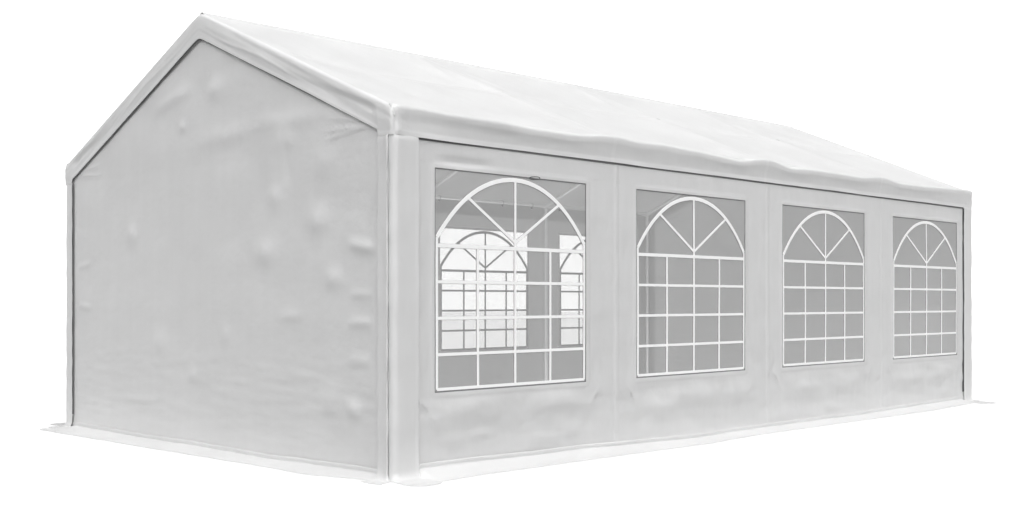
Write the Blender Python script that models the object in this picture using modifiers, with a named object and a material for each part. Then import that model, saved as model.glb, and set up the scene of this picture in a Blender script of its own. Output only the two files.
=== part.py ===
"""A marquee tent: a galvanised tube frame of posts, rafters and rails over four bays, under white coated cloth.

Metres, +Z up. +X runs along the tent. The origin is on the ground at the middle of the plan.
Front is the long side at -Y, back is at +Y, left is the gable at -X and right is the gable at +X.
"""
from math import atan2, cos, hypot, pi, sin, tan

import bmesh
import bpy
from mathutils import Vector

# Outside of the cover
COVER_LENGTH = 8.14
COVER_WIDTH = 4.50
RIDGE_HEIGHT = 3.235
EAVE_HEIGHT = 2.28            # where the slope's plane meets the side's plane
EAVE_ROLL_RADIUS = 0.06       # the cloth rounds over the eave
VALANCE_FOOT = 2.108          # lower edge of the hanging strip on the long sides
GABLE_VALANCE_DROP = 0.19     # height of the hanging strip under the gable's slopes
COVER_THICKNESS = 0.004
ROOF_SAG = 0.012              # dip of the cloth in the middle of a bay's slope

# Strips of the cover that run down the four corners
STRIP_ON_SIDE = 0.21
STRIP_ON_GABLE = 0.14
STRIP_CORNER_RADIUS = 0.035

# Cloth that turns out along the ground
FLAP_REACH = 0.29             # beyond the cover's outside
FLAP_RISE = 0.11              # how far up the wall the flap is joined
FLAP_BEND = 0.07              # size of its curve from upright to flat

# Walls and windows
WALL_THICKNESS = 0.003
WALL_FOOT = 0.010
SIDE_WALL_TOP = 2.27
GABLE_WALL_CLEARANCE = 0.02   # below the roof's ridge
WINDOW_WIDTH = 1.436
WINDOW_SILL = 0.52
WINDOW_HEAD = 1.935
FILM_THICKNESS = 0.002

# Frame
BAY = 2.0
BAYS = 4
POST_RADIUS = 0.025
POST_SLEEVE_RADIUS = 0.029
POST_SLEEVE_LENGTH = 0.15
PLATE_WIDTH = 0.12
PLATE_THICKNESS = 0.006
TUBE_RADIUS = 0.019           # rafters and rails
SLEEVE_RADIUS = 0.024         # the rafter's ends
SLEEVE_LENGTH = 0.16
BARREL_RADIUS = 0.026         # the rails' joints at each frame
BARREL_LENGTH = 0.18
RAIL_END_BEYOND_POST = 0.027
POST_TOP_BELOW_RAIL = 0.019   # from the rail's axis down to the top of the post's sleeve
TUBE_SIDES = 16

GAP = 0.0003                  # between pieces that touch

HALF_LENGTH = COVER_LENGTH / 2
HALF_WIDTH = COVER_WIDTH / 2
SLOPE = atan2(RIDGE_HEIGHT - EAVE_HEIGHT, HALF_WIDTH)
FRAME_X = [BAY * (i - BAYS / 2) for i in range(BAYS + 1)]
WINDOW_X = [BAY * (i - (BAYS - 1) / 2) for i in range(BAYS)]

# The walls hang just outside the posts, and the cover's strips stand proud of the walls
POST_X = FRAME_X[-1]
POST_Y = 2.202
SIDE_WALL_IN = POST_Y + POST_SLEEVE_RADIUS + GAP
SIDE_WALL_OUT = SIDE_WALL_IN + WALL_THICKNESS
GABLE_WALL_IN = POST_X + POST_SLEEVE_RADIUS + GAP
GABLE_WALL_OUT = GABLE_WALL_IN + WALL_THICKNESS

# The rails lie under the cloth, one joint's radius below its inner face
AXIS_DEPTH = (COVER_THICKNESS + GAP + BARREL_RADIUS) / cos(SLOPE)
RIDGE_AXIS_Z = RIDGE_HEIGHT - AXIS_DEPTH
EAVE_AXIS_Z = RIDGE_AXIS_Z - POST_Y * tan(SLOPE)

SIDE_ANGLE = {"front": 0.0, "right": pi / 2, "back": pi, "left": -pi / 2}


def clear_scene():
    for obj in list(bpy.data.objects):
        bpy.data.objects.remove(obj, do_unlink=True)


def make_collection(name):
    collection = bpy.data.collections.new(name)
    bpy.context.scene.collection.children.link(collection)
    return collection


def make_material(name, colour, roughness, metallic=0.0, alpha=1.0):
    material = bpy.data.materials.new(name)
    material.use_nodes = True
    shader = material.node_tree.nodes["Principled BSDF"]
    shader.inputs["Base Color"].default_value = (*colour, 1.0)
    shader.inputs["Roughness"].default_value = roughness
    shader.inputs["Metallic"].default_value = metallic
    shader.inputs["Alpha"].default_value = alpha
    return material


def add_object(name, data, material, collection):
    obj = bpy.data.objects.new(name, data)
    if material:
        data.materials.clear()
        data.materials.append(material)
    collection.objects.link(obj)
    return obj


def add_cutter(name, data, collection):
    """A shape that only joins or cuts others."""
    obj = bpy.data.objects.new(name, data)
    collection.objects.link(obj)
    obj.hide_render = True
    obj.display_type = "WIRE"
    return obj


def add_boolean(obj, other, operation):
    modifier = obj.modifiers.new(operation.title(), "BOOLEAN")
    modifier.operation = operation
    modifier.object = other
    modifier.solver = "EXACT"


def box_mesh(name, low, high):
    """A box between two corners."""
    low = Vector(low)
    high = Vector(high)
    mesh = bpy.data.meshes.new(name)
    bm = bmesh.new()
    bmesh.ops.create_cube(bm, size=1.0)
    bmesh.ops.scale(bm, vec=high - low, verts=bm.verts)
    bmesh.ops.translate(bm, vec=(low + high) / 2, verts=bm.verts)
    bm.to_mesh(mesh)
    bm.free()
    return mesh


def rod_mesh(name, radius, length):
    """A closed cylinder along X, centred."""
    mesh = bpy.data.meshes.new(name)
    bm = bmesh.new()
    bmesh.ops.create_cone(
        bm, cap_ends=True, segments=TUBE_SIDES, radius1=radius, radius2=radius, depth=length)
    bmesh.ops.rotate(bm, cent=(0, 0, 0), matrix=Vector((0, 0, 1)).rotation_difference(
        Vector((1, 0, 0))).to_matrix(), verts=bm.verts)
    bm.to_mesh(mesh)
    bm.free()
    return mesh


def turned_mesh(name, profile):
    """The half outline of a turned piece: radius and height pairs from top to bottom, on the axis."""
    mesh = bpy.data.meshes.new(name)
    bm = bmesh.new()
    verts = [bm.verts.new((radius, 0.0, height)) for radius, height in profile]
    for upper, lower in zip(verts, verts[1:]):
        bm.edges.new((upper, lower))
    bm.to_mesh(mesh)
    bm.free()
    return mesh


def add_turning(obj):
    screw = obj.modifiers.new("Turning", "SCREW")
    screw.steps = TUBE_SIDES
    screw.render_steps = TUBE_SIDES
    screw.use_merge_vertices = True
    screw.merge_threshold = 0.0001
    screw.use_smooth_shade = True


def sheet_mesh(name, columns, rows, place):
    """A grid laid out by place(u, v), with u and v from 0 to 1; the cloth's outside faces along u x v."""
    mesh = bpy.data.meshes.new(name)
    bm = bmesh.new()
    bmesh.ops.create_grid(bm, x_segments=columns, y_segments=rows, size=0.5)
    for vert in bm.verts:
        vert.co = place(vert.co.x + 0.5, vert.co.y + 0.5)
    bm.to_mesh(mesh)
    bm.free()
    return mesh


def add_thickness(obj, thickness):
    """Cloth grows inwards from its outer face."""
    solidify = obj.modifiers.new("Thickness", "SOLIDIFY")
    solidify.thickness = thickness
    solidify.offset = -1.0
    solidify.use_even_offset = True


def outline_curve(name, outlines, thickness):
    """A flat plate from closed outlines, the later ones being holes."""
    curve = bpy.data.curves.new(name, "CURVE")
    curve.dimensions = "2D"
    curve.fill_mode = "BOTH"
    curve.extrude = thickness / 2
    for points in outlines:
        spline = curve.splines.new("POLY")
        spline.points.add(len(points) - 1)
        for point, (x, y) in zip(spline.points, points):
            point.co = (x, y, 0.0, 1.0)
        spline.use_cyclic_u = True
    return curve


def rectangle(left, right, bottom, top):
    return [(left, bottom), (right, bottom), (right, top), (left, top)]


def eave_arc(inset, steps):
    """The front eave's rounding in the Y, Z plane, from upright to the slope, inset from the outside."""
    radius = EAVE_ROLL_RADIUS - inset
    turn = pi / 2 - SLOPE
    centre_y = -(HALF_WIDTH - EAVE_ROLL_RADIUS)
    centre_z = EAVE_HEIGHT - EAVE_ROLL_RADIUS * tan(turn / 2)
    angles = [turn * i / steps for i in range(steps + 1)]
    return [(centre_y - radius * cos(a), centre_z + radius * sin(a)) for a in angles]


def roof_half_section(inset, foot):
    """The front half of the roof's section, from the valance's lower edge up to the ridge."""
    arc = eave_arc(inset, 5)
    ridge = (0.0, RIDGE_HEIGHT - inset / cos(SLOPE))
    return [(arc[0][0], foot)] + arc + [ridge]


def add_roof_cover(material, collection):
    """One cloth over both slopes, with the hanging strips of the two long sides."""
    arc = eave_arc(0.0, 5)
    slope_rows = 4
    foot = [(arc[0][0], VALANCE_FOOT), (arc[0][0], (VALANCE_FOOT + arc[0][1]) / 2)]
    last = arc[-1]
    rise = [(last[0] * (1 - t), last[1] + (RIDGE_HEIGHT - last[1]) * t)
            for t in (i / slope_rows for i in range(1, slope_rows + 1))]
    half = foot + arc + rise
    section = half + [(-y, z) for y, z in reversed(half[:-1])]
    rows = len(section) - 1
    columns = 4 * BAYS

    def place(u, v):
        y, z = section[round(v * rows)]
        x = (u - 0.5) * COVER_LENGTH
        up_slope = max(0.0, (z - last[1]) / (RIDGE_HEIGHT - last[1]))
        along_bay = ((x - FRAME_X[0]) / BAY) % 1.0 if abs(x) < POST_X else 0.0
        sag = ROOF_SAG * sin(pi * up_slope) * sin(pi * along_bay) ** 2
        return (x, y, z - sag)

    obj = add_object("roof_cover", sheet_mesh("roof_cover", columns, rows, place), material, collection)
    add_thickness(obj, COVER_THICKNESS)


def add_gable_valances(material, collection):
    """The strips that hang under the two gables' slopes, down to the corner strips."""
    inset = COVER_THICKNESS + GAP
    upper = roof_half_section(inset, VALANCE_FOOT)
    strip_edge = -(HALF_WIDTH - STRIP_ON_GABLE)
    roof_at_strip = RIDGE_HEIGHT + strip_edge * tan(SLOPE)
    lower = [(strip_edge, VALANCE_FOOT), (strip_edge, roof_at_strip - GABLE_VALANCE_DROP)]
    apex = (0.0, RIDGE_HEIGHT - GABLE_VALANCE_DROP)
    half = [apex] + lower[::-1] + upper
    outline = half + [(-y, z) for y, z in reversed(half[1:-1])]
    for side, sign in (("left", -1), ("right", 1)):
        name = f"{side}_gable_valance"
        obj = add_object(name, outline_curve(name, [outline], COVER_THICKNESS), material, collection)
        obj.rotation_euler = (pi / 2, 0.0, pi / 2)
        obj.location.x = sign * (HALF_LENGTH - COVER_THICKNESS / 2)


def flap_section(height, reach):
    """Outward distance and height of a cloth's outer face, from its edge on the ground up to height."""
    flat = COVER_THICKNESS
    turn = [pi / 2 * i / 5 for i in range(6)]
    curve = [(FLAP_BEND * (1 - sin(a)), flat + FLAP_BEND * (1 - cos(a))) for a in turn]
    return [(reach, flat)] + curve + [(0.0, height)]


def add_corner_strips(material, collection):
    """A strip folded round each corner, from the valance down to the cloth on the ground."""
    section = flap_section(VALANCE_FOOT - GAP, FLAP_REACH)
    rows = len(section) - 1
    arc_steps = 6
    radius = STRIP_CORNER_RADIUS

    def corner_mesh(name, first_leg, second_leg):
        turn = [pi + pi / 2 * i / arc_steps for i in range(arc_steps + 1)]
        path = [((radius + radius * cos(a), radius + radius * sin(a)), (cos(a), sin(a))) for a in turn]
        path = [((0.0, first_leg), (-1.0, 0.0))] + path + [((second_leg, 0.0), (0.0, -1.0))]
        columns = len(path) - 1

        def place(u, v):
            (x, y), (out_x, out_y) = path[round(u * columns)]
            out, z = section[round(v * rows)]
            return (x + out_x * out, y + out_y * out, z)

        return sheet_mesh(name, columns, rows, place)

    gable_first = corner_mesh("corner_strip_gable_first", STRIP_ON_GABLE, STRIP_ON_SIDE)
    side_first = corner_mesh("corner_strip_side_first", STRIP_ON_SIDE, STRIP_ON_GABLE)
    corners = (
        ("front_left", gable_first, -1, -1, 0.0),
        ("front_right", side_first, 1, -1, pi / 2),
        ("back_right", gable_first, 1, 1, pi),
        ("back_left", side_first, -1, 1, -pi / 2),
    )
    for where, mesh, sign_x, sign_y, angle in corners:
        obj = add_object(f"{where}_corner_strip", mesh, material, collection)
        obj.location = (sign_x * HALF_LENGTH, sign_y * HALF_WIDTH, 0.0)
        obj.rotation_euler.z = angle
        add_thickness(obj, COVER_THICKNESS)


def add_ground_flaps(material, collection):
    """The cloth that turns out along the ground between the corner strips."""

    def flap_mesh(name, length, wall_out, edge):
        face = wall_out + GAP + COVER_THICKNESS
        section = flap_section(FLAP_RISE, edge - face)
        rows = len(section) - 1

        def place(u, v):
            out, z = section[round(v * rows)]
            return ((u - 0.5) * length, -(face + out), z)

        return sheet_mesh(name, 1, rows, place)

    side_length = COVER_LENGTH - 2 * (STRIP_ON_SIDE + GAP)
    gable_length = COVER_WIDTH - 2 * (STRIP_ON_GABLE + GAP)
    side = flap_mesh("side_flap", side_length, SIDE_WALL_OUT, HALF_WIDTH + FLAP_REACH)
    gable = flap_mesh("gable_flap", gable_length, GABLE_WALL_OUT, HALF_LENGTH + FLAP_REACH)
    for where, mesh in (("front", side), ("back", side), ("left", gable), ("right", gable)):
        obj = add_object(f"{where}_ground_flap", mesh, material, collection)
        obj.rotation_euler.z = SIDE_ANGLE[where]
        add_thickness(obj, COVER_THICKNESS)


def add_side_walls(wall_material, film_material, collection):
    """Each long wall is one cloth with four window openings, each closed by a clear film."""
    half_length = GABLE_WALL_IN - GAP
    half_window = WINDOW_WIDTH / 2
    outlines = [rectangle(-half_length, half_length, WALL_FOOT, SIDE_WALL_TOP)]
    for x in WINDOW_X:
        outlines.append(rectangle(x - half_window, x + half_window, WINDOW_SILL, WINDOW_HEAD))
    film = box_mesh(
        "window_film",
        (-half_window + GAP, -FILM_THICKNESS / 2, WINDOW_SILL + GAP),
        (half_window - GAP, FILM_THICKNESS / 2, WINDOW_HEAD - GAP))
    middle = (SIDE_WALL_IN + SIDE_WALL_OUT) / 2
    for where, sign in (("front", -1), ("back", 1)):
        name = f"{where}_wall"
        wall = add_object(name, outline_curve(name, outlines, WALL_THICKNESS), wall_material, collection)
        wall.rotation_euler.x = pi / 2
        wall.location.y = sign * middle
        for number, x in enumerate(WINDOW_X, start=1):
            pane = add_object(f"{where}_window_{number}", film, film_material, collection)
            pane.location = (x, sign * middle, 0.0)


def add_gable_walls(material, collection):
    """Each gable wall is one plain cloth from the ground to the roof."""
    ridge = RIDGE_HEIGHT - GABLE_WALL_CLEARANCE
    shoulder = ridge - SIDE_WALL_OUT * tan(SLOPE)
    outline = [
        (-SIDE_WALL_OUT, WALL_FOOT), (SIDE_WALL_OUT, WALL_FOOT),
        (SIDE_WALL_OUT, shoulder), (0.0, ridge), (-SIDE_WALL_OUT, shoulder),
    ]
    for side, sign in (("left", -1), ("right", 1)):
        name = f"{side}_gable_wall"
        obj = add_object(name, outline_curve(name, [outline], WALL_THICKNESS), material, collection)
        obj.rotation_euler = (pi / 2, 0.0, pi / 2)
        obj.location.x = sign * (GABLE_WALL_IN + GABLE_WALL_OUT) / 2


def add_rails(material, collection):
    """The ridge rail and the two eave rails, each a tube with a thicker joint at every frame."""
    end = POST_X + RAIL_END_BEYOND_POST
    profile = [(0.0, end)]
    for x in reversed(FRAME_X):
        top = min(x + BARREL_LENGTH / 2, end)
        bottom = max(x - BARREL_LENGTH / 2, -end)
        if top < end:
            profile.append((TUBE_RADIUS, top))
        profile += [(BARREL_RADIUS, top), (BARREL_RADIUS, bottom)]
        if bottom > -end:
            profile.append((TUBE_RADIUS, bottom))
    profile.append((0.0, -end))
    mesh = turned_mesh("rail", profile)
    for name, y, z in (
            ("ridge_rail", 0.0, RIDGE_AXIS_Z),
            ("front_eave_rail", -POST_Y, EAVE_AXIS_Z),
            ("back_eave_rail", POST_Y, EAVE_AXIS_Z)):
        obj = add_object(name, mesh, material, collection)
        obj.location = (0.0, y, z)
        obj.rotation_euler.y = pi / 2
        add_turning(obj)


def add_rail_clearances(collection):
    """Rods a little thicker than the rails' joints, which cut the posts' and rafters' ends."""
    mesh = rod_mesh("rail_clearance", BARREL_RADIUS + GAP, COVER_LENGTH)
    rods = {}
    for where, y, z in (
            ("ridge", 0.0, RIDGE_AXIS_Z),
            ("front", -POST_Y, EAVE_AXIS_Z),
            ("back", POST_Y, EAVE_AXIS_Z)):
        rods[where] = add_cutter(f"{where}_rail_clearance", mesh, collection)
        rods[where].location = (0.0, y, z)
    return rods


def add_posts(material, collection, cutters, rods):
    """Upright tubes with a sleeve at the eave and a flat plate under each foot."""
    top = EAVE_AXIS_Z - POST_TOP_BELOW_RAIL
    sleeve_foot = top - POST_SLEEVE_LENGTH
    profile = [
        (0.0, top), (POST_SLEEVE_RADIUS, top), (POST_SLEEVE_RADIUS, sleeve_foot),
        (POST_RADIUS, sleeve_foot), (POST_RADIUS, PLATE_THICKNESS / 2), (0.0, PLATE_THICKNESS / 2),
    ]
    tube = turned_mesh("post", profile)
    inward = PLATE_WIDTH / 2 - POST_SLEEVE_RADIUS
    plate = box_mesh(
        "foot_plate", (-PLATE_WIDTH / 2, -PLATE_WIDTH / 2, 0.0),
        (PLATE_WIDTH / 2, PLATE_WIDTH / 2, PLATE_THICKNESS))
    for where, sign in (("front", -1), ("back", 1)):
        for number, x in enumerate(FRAME_X, start=1):
            name = f"{where}_post_{number}"
            foot = add_cutter(f"{name}_plate", plate, cutters)
            toward_middle = 0.0 if abs(x) < POST_X else -inward * x / abs(x)
            foot.location = (x + toward_middle, sign * (POST_Y - inward), 0.0)
            post = add_object(name, tube, material, collection)
            post.location = (x, sign * POST_Y, 0.0)
            add_turning(post)
            add_boolean(post, foot, "UNION")
            add_boolean(post, rods[where], "DIFFERENCE")


def add_rafters(material, collection, rods):
    """Tubes from the eave rails up to the ridge rail, with a sleeve at each end."""
    rise = RIDGE_AXIS_Z - EAVE_AXIS_Z
    length = hypot(POST_Y, rise)
    profile = [
        (0.0, length), (SLEEVE_RADIUS, length), (SLEEVE_RADIUS, length - SLEEVE_LENGTH),
        (TUBE_RADIUS, length - SLEEVE_LENGTH), (TUBE_RADIUS, SLEEVE_LENGTH),
        (SLEEVE_RADIUS, SLEEVE_LENGTH), (SLEEVE_RADIUS, 0.0), (0.0, 0.0),
    ]
    tube = turned_mesh("rafter", profile)
    lean = pi / 2 - SLOPE
    for where, sign in (("front", -1), ("back", 1)):
        for number, x in enumerate(FRAME_X, start=1):
            rafter = add_object(f"{where}_rafter_{number}", tube, material, collection)
            rafter.location = (x, sign * POST_Y, EAVE_AXIS_Z)
            rafter.rotation_euler.x = sign * lean
            add_turning(rafter)
            add_boolean(rafter, rods[where], "DIFFERENCE")
            add_boolean(rafter, rods["ridge"], "DIFFERENCE")


def main():
    clear_scene()
    tent = make_collection("marquee_tent")
    cutters = make_collection("joining_shapes")
    cover = make_material("cover_cloth", (0.86, 0.86, 0.86), 0.45)
    wall = make_material("wall_cloth", (0.72, 0.72, 0.72), 0.5)
    film = make_material("window_film", (0.62, 0.62, 0.62), 0.12, alpha=0.45)
    steel = make_material("frame_steel", (0.55, 0.56, 0.57), 0.38, metallic=0.9)

    add_rails(steel, tent)
    rods = add_rail_clearances(cutters)
    add_posts(steel, tent, cutters, rods)
    add_rafters(steel, tent, rods)
    add_side_walls(wall, film, tent)
    add_gable_walls(wall, tent)
    add_roof_cover(cover, tent)
    add_gable_valances(cover, tent)
    add_corner_strips(cover, tent)
    add_ground_flaps(cover, tent)


main()
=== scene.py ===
"""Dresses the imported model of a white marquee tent: cloths, windows, tapes, fittings and
finishes."""
from math import cos, pi, radians, sin, sqrt

import bpy
import numpy as np
from bpy.props import FloatProperty, FloatVectorProperty, PointerProperty
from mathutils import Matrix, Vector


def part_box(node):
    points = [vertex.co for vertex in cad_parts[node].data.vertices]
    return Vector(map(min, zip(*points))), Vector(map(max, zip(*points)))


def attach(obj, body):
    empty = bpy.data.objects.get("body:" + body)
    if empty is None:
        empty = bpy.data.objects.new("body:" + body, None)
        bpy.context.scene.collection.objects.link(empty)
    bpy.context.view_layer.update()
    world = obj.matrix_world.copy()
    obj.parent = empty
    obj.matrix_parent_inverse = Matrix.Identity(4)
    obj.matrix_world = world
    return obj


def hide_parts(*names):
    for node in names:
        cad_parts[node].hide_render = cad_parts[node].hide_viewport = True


bl_info = {
    "name": "Marquee tent dresser",
    "version": (1, 0, 0),
    "blender": (4, 5, 0),
    "location": "3D View > Sidebar > Tent",
    "description": "Makes the cloths, windows, tapes, fittings and finishes of a marquee tent",
    "category": "Object",
}

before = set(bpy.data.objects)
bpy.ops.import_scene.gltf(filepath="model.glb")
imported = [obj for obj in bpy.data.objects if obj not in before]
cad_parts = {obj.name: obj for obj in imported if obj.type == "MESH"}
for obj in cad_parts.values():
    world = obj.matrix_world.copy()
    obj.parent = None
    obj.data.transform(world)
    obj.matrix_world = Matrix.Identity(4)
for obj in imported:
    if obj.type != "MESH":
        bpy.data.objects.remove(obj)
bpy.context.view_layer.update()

# Places taken from the frame, in metres
COVER_LOW, COVER_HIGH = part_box("roof_cover")
WALL_LOW, WALL_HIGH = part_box("front_wall")
GABLE_LOW, GABLE_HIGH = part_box("left_gable_wall")
HALF_LENGTH, HALF_WIDTH = COVER_HIGH.x, COVER_HIGH.y
RIDGE, VALANCE_FOOT = COVER_HIGH.z, COVER_LOW.z
WALL_FACE, WALL_FOOT = -WALL_LOW.y, WALL_LOW.z
WALL_END, WALL_TOP = WALL_HIGH.x, WALL_HIGH.z
WINDOWS = [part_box(f"front_window_{number}") for number in range(1, 5)]
WINDOW_X = [(low.x + high.x) / 2 for low, high in WINDOWS]
WINDOW_PITCH = WINDOW_X[1] - WINDOW_X[0]
HALF_WINDOW = (WINDOWS[0][1].x - WINDOWS[0][0].x) / 2
SILL, HEAD = WINDOWS[0][0].z, WINDOWS[0][1].z
POST_X = [sum(c.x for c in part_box(f"front_rafter_{number}")) / 2 for number in range(1, 6)]
INNER_POST_X = POST_X[1:4]
RAIL_Y = -sum(c.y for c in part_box("front_eave_rail")) / 2
RAIL_Z = sum(c.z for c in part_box("front_eave_rail")) / 2
RIDGE_RAIL_Z = sum(c.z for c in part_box("ridge_rail")) / 2
RAIL_RADIUS = (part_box("ridge_rail")[1].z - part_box("ridge_rail")[0].z) / 2

# The gable walls hang a little further out than their solids, close behind the valances
GABLE_OUT = 0.016
GABLE_FACE = -GABLE_LOW.x + GABLE_OUT

# The roof's section: a roll over the eave rail, then a straight slope up to a soft ridge
EAVE_HEIGHT = 2.28
EAVE_ROLL = 0.06
RIDGE_SOFTNESS = 0.035
SLOPE_TAN = (RIDGE - EAVE_HEIGHT) / HALF_WIDTH
SLOPE_COS = 1 / sqrt(1 + SLOPE_TAN ** 2)
SLOPE_SIN = SLOPE_TAN * SLOPE_COS
ROLL_Y = HALF_WIDTH - EAVE_ROLL
ROLL_Z = RIDGE - (EAVE_ROLL + ROLL_Y * SLOPE_SIN) / SLOPE_COS
ROLL_TURN = float(np.arccos(SLOPE_SIN))
ROLL_ARC = EAVE_ROLL * ROLL_TURN
SLOPE_START = ROLL_Y + EAVE_ROLL * SLOPE_SIN
SLOPE_LENGTH = SLOPE_START / SLOPE_COS

# How far the valances hang, down from the eave's roll and down from the gable's edge
DROP = ROLL_Z - VALANCE_FOOT
GABLE_DROP = 0.19
GABLE_FOOT_SOFTNESS = 0.03

# Widths of the corner strips on the long sides and on the gables
STRIP_ON_SIDE = 0.21
STRIP_ON_GABLE = 0.14

# Each side's direction along the cloth and its outward direction, and the seed of its noise
SIDES = {
    "front": ((1, 0, 0), (0, -1, 0)),
    "back": ((-1, 0, 0), (0, 1, 0)),
    "left": ((0, -1, 0), (-1, 0, 0)),
    "right": ((0, 1, 0), (1, 0, 0)),
}
SEED = {"front": 11, "back": 23, "left": 37, "right": 41}
LONG_SIDES = (("front", 1), ("back", -1))


# Noise and wrinkle shapes, all on arrays

def lattice_noise(x, y, seed):
    """Smooth noise from about -1 to 1, on a lattice of unit cells."""
    x, y = np.broadcast_arrays(np.asarray(x, float), np.asarray(y, float))
    cell_x, cell_y = np.floor(x).astype(np.int64), np.floor(y).astype(np.int64)
    part_x, part_y = x - cell_x, y - cell_y
    ease_x, ease_y = (part ** 3 * (part * (part * 6 - 15) + 10) for part in (part_x, part_y))

    def pull(step_x, step_y):
        key = (cell_x + step_x) * 73856093 ^ (cell_y + step_y) * 19349663 ^ seed * 83492791
        key = (key ^ (key >> 13)) * 1274126177 & 0x7FFFFFFF
        key = (key ^ (key >> 15)) * 668265263 & 0x7FFFFFFF
        angle = (key >> 7 & 0xFFFF) / 65536 * 2 * pi
        return np.cos(angle) * (part_x - step_x) + np.sin(angle) * (part_y - step_y)

    low, high = (pull(0, step) * (1 - ease_x) + pull(1, step) * ease_x for step in (0, 1))
    return 1.5 * (low * (1 - ease_y) + high * ease_y)


def layered_noise(x, y, seed, layers=3):
    """Noise of a few sizes, each half as large and half as strong as the last."""
    return sum(lattice_noise(x * 2 ** n, y * 2 ** n, seed + n) / 2 ** n for n in range(layers))


def creases(x, y, seed, layers=2):
    """Crumpled cloth: smooth pads between sharp creases, from 0 in a crease to about 1."""
    shares = (lattice_noise(x * 2 ** n, y * 2 ** n, seed + n) for n in range(layers))
    return sum(np.sqrt(share ** 2 + 0.002) / 1.8 ** n for n, share in enumerate(shares))


def smooth_step(value, low, high):
    """0 at low and 1 at high, eased between."""
    part = np.clip((value - low) / (high - low), 0, 1)
    return part * part * (3 - 2 * part)


def band(value, low, high, edge):
    """1 between low and high, eased to 0 over edge outside them."""
    return smooth_step(value, low - edge, low) * (1 - smooth_step(value, high, high + edge))


def bump(value, at, reach):
    """A soft rise of 1 around a place."""
    return np.exp(-((value - at) / reach) ** 2)


def dent(x, y, at_x, at_y, reach_x, reach_y, height):
    """A soft round rise, or a dimple where height is below 0."""
    return height * bump(x, at_x, reach_x) * bump(y, at_y, reach_y)


def fold(x, y, at_x, at_y, angle, length, width, height):
    """One straight fold with its middle at a point and tapered ends."""
    along = (x - at_x) * cos(angle) + (y - at_y) * sin(angle)
    across = (y - at_y) * cos(angle) - (x - at_x) * sin(angle)
    return height * np.exp(-(across / width) ** 2 - (2 * along / length) ** 4)


def weld(value, at, width, edge=0.004):
    """1 on a flat band, as where two widths of cloth overlap."""
    return band(value, at - width / 2, at + width / 2, edge)


def packing_lines(value, pitch, seed, width=0.008):
    """Straight creases left by packing, of uneven strength, at an even pitch."""
    number = np.round(value / pitch)
    return lattice_noise(number * 0.73 + 0.31, 0.5, seed) * bump(value, number * pitch, width)


def fall_back(end, radius):
    """How far a rounded end of the radius curves back, over the distance from its tip."""
    left = np.maximum(radius ** 2 - np.maximum(radius - end, 0) ** 2, 0)
    return radius - np.sqrt(left)


def along_line(line, x, spread=0.06):
    """A line of places and values, softened over a spread."""
    places, values = zip(*line)
    return sum(np.interp(x + step * spread, places, values) for step in (-2, -1, 0, 1, 2)) / 5


# Grids and meshes

def graded(*spans):
    """Places from the first span's end on, each span stepping evenly to its end by its own step at
    most."""
    places = [spans[0][0]]
    for end, step in spans[1:]:
        count = max(1, int(np.ceil(abs(end - places[-1]) / step - 1e-6)))
        places += list(np.linspace(places[-1], end, count + 1)[1:])
    return np.array(places)


def both_ways(places):
    """Places from 0 up, with the same ones below 0."""
    return np.concatenate([-places[:0:-1], places])


def stand(side, along, out, height):
    """Points from a distance along a side, a distance out from the tent's middle, and a height."""
    run, outward = (np.array(direction, float) for direction in SIDES[side])
    along, out, height = np.broadcast_arrays(along, out, height)
    points = along[..., None] * run + out[..., None] * outward
    points[..., 2] += height
    return points


def pairs(first, second):
    """Two grids joined, as the place of each point on its flat cloth."""
    return np.stack(np.broadcast_arrays(first, second), axis=-1)


def surface(points):
    """Area of one face of a grid of points."""
    first = points[1:, :-1] - points[:-1, 1:]
    second = points[1:, 1:] - points[:-1, :-1]
    return float(np.linalg.norm(np.cross(first, second), axis=2).sum() / 2)


def run_length(points):
    """Distance along a line of points, at each point."""
    return np.concatenate([[0.0], np.cumsum(np.linalg.norm(np.diff(points, axis=0), axis=1))])


def way_down(out, height):
    """Distance along each row of a grid, from its places out and its heights."""
    steps = (np.diff(grid, axis=1, prepend=grid[:, :1]) for grid in (out, height))
    return np.cumsum(np.hypot(*steps), axis=1)


def flat_size(points):
    """The longest length and width of a grid of points, as it would be cut."""
    steps = [np.linalg.norm(np.diff(points, axis=axis), axis=2) for axis in (0, 1)]
    return tuple(float(step.sum(axis=axis).max()) for axis, step in enumerate(steps))


def sheet_faces(there):
    """Quads of a closed sheet over the cells that are there: outer ones, inner ones, and then the
    rims."""
    rows, columns = there.shape
    index = np.arange((rows + 1) * (columns + 1)).reshape(rows + 1, columns + 1)
    corners = np.stack([index[:-1, :-1], index[1:, :-1], index[1:, 1:], index[:-1, 1:]], axis=-1)
    faces = [corners[there], corners[there][:, ::-1] + index.size]
    wide = np.pad(there, 1)
    beside = (wide[1:-1, :-2], wide[2:, 1:-1], wide[1:-1, 2:], wide[:-2, 1:-1])
    for first, neighbour in enumerate(beside):
        rim = corners[there & ~neighbour]
        a, b = rim[:, first], rim[:, (first + 1) % 4]
        faces.append(np.stack([b, a, a + index.size, b + index.size], axis=-1))
    return np.concatenate(faces)


def link_object(name, data):
    obj = bpy.data.objects.new(name, data)
    bpy.context.scene.collection.objects.link(obj)
    return obj


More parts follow.
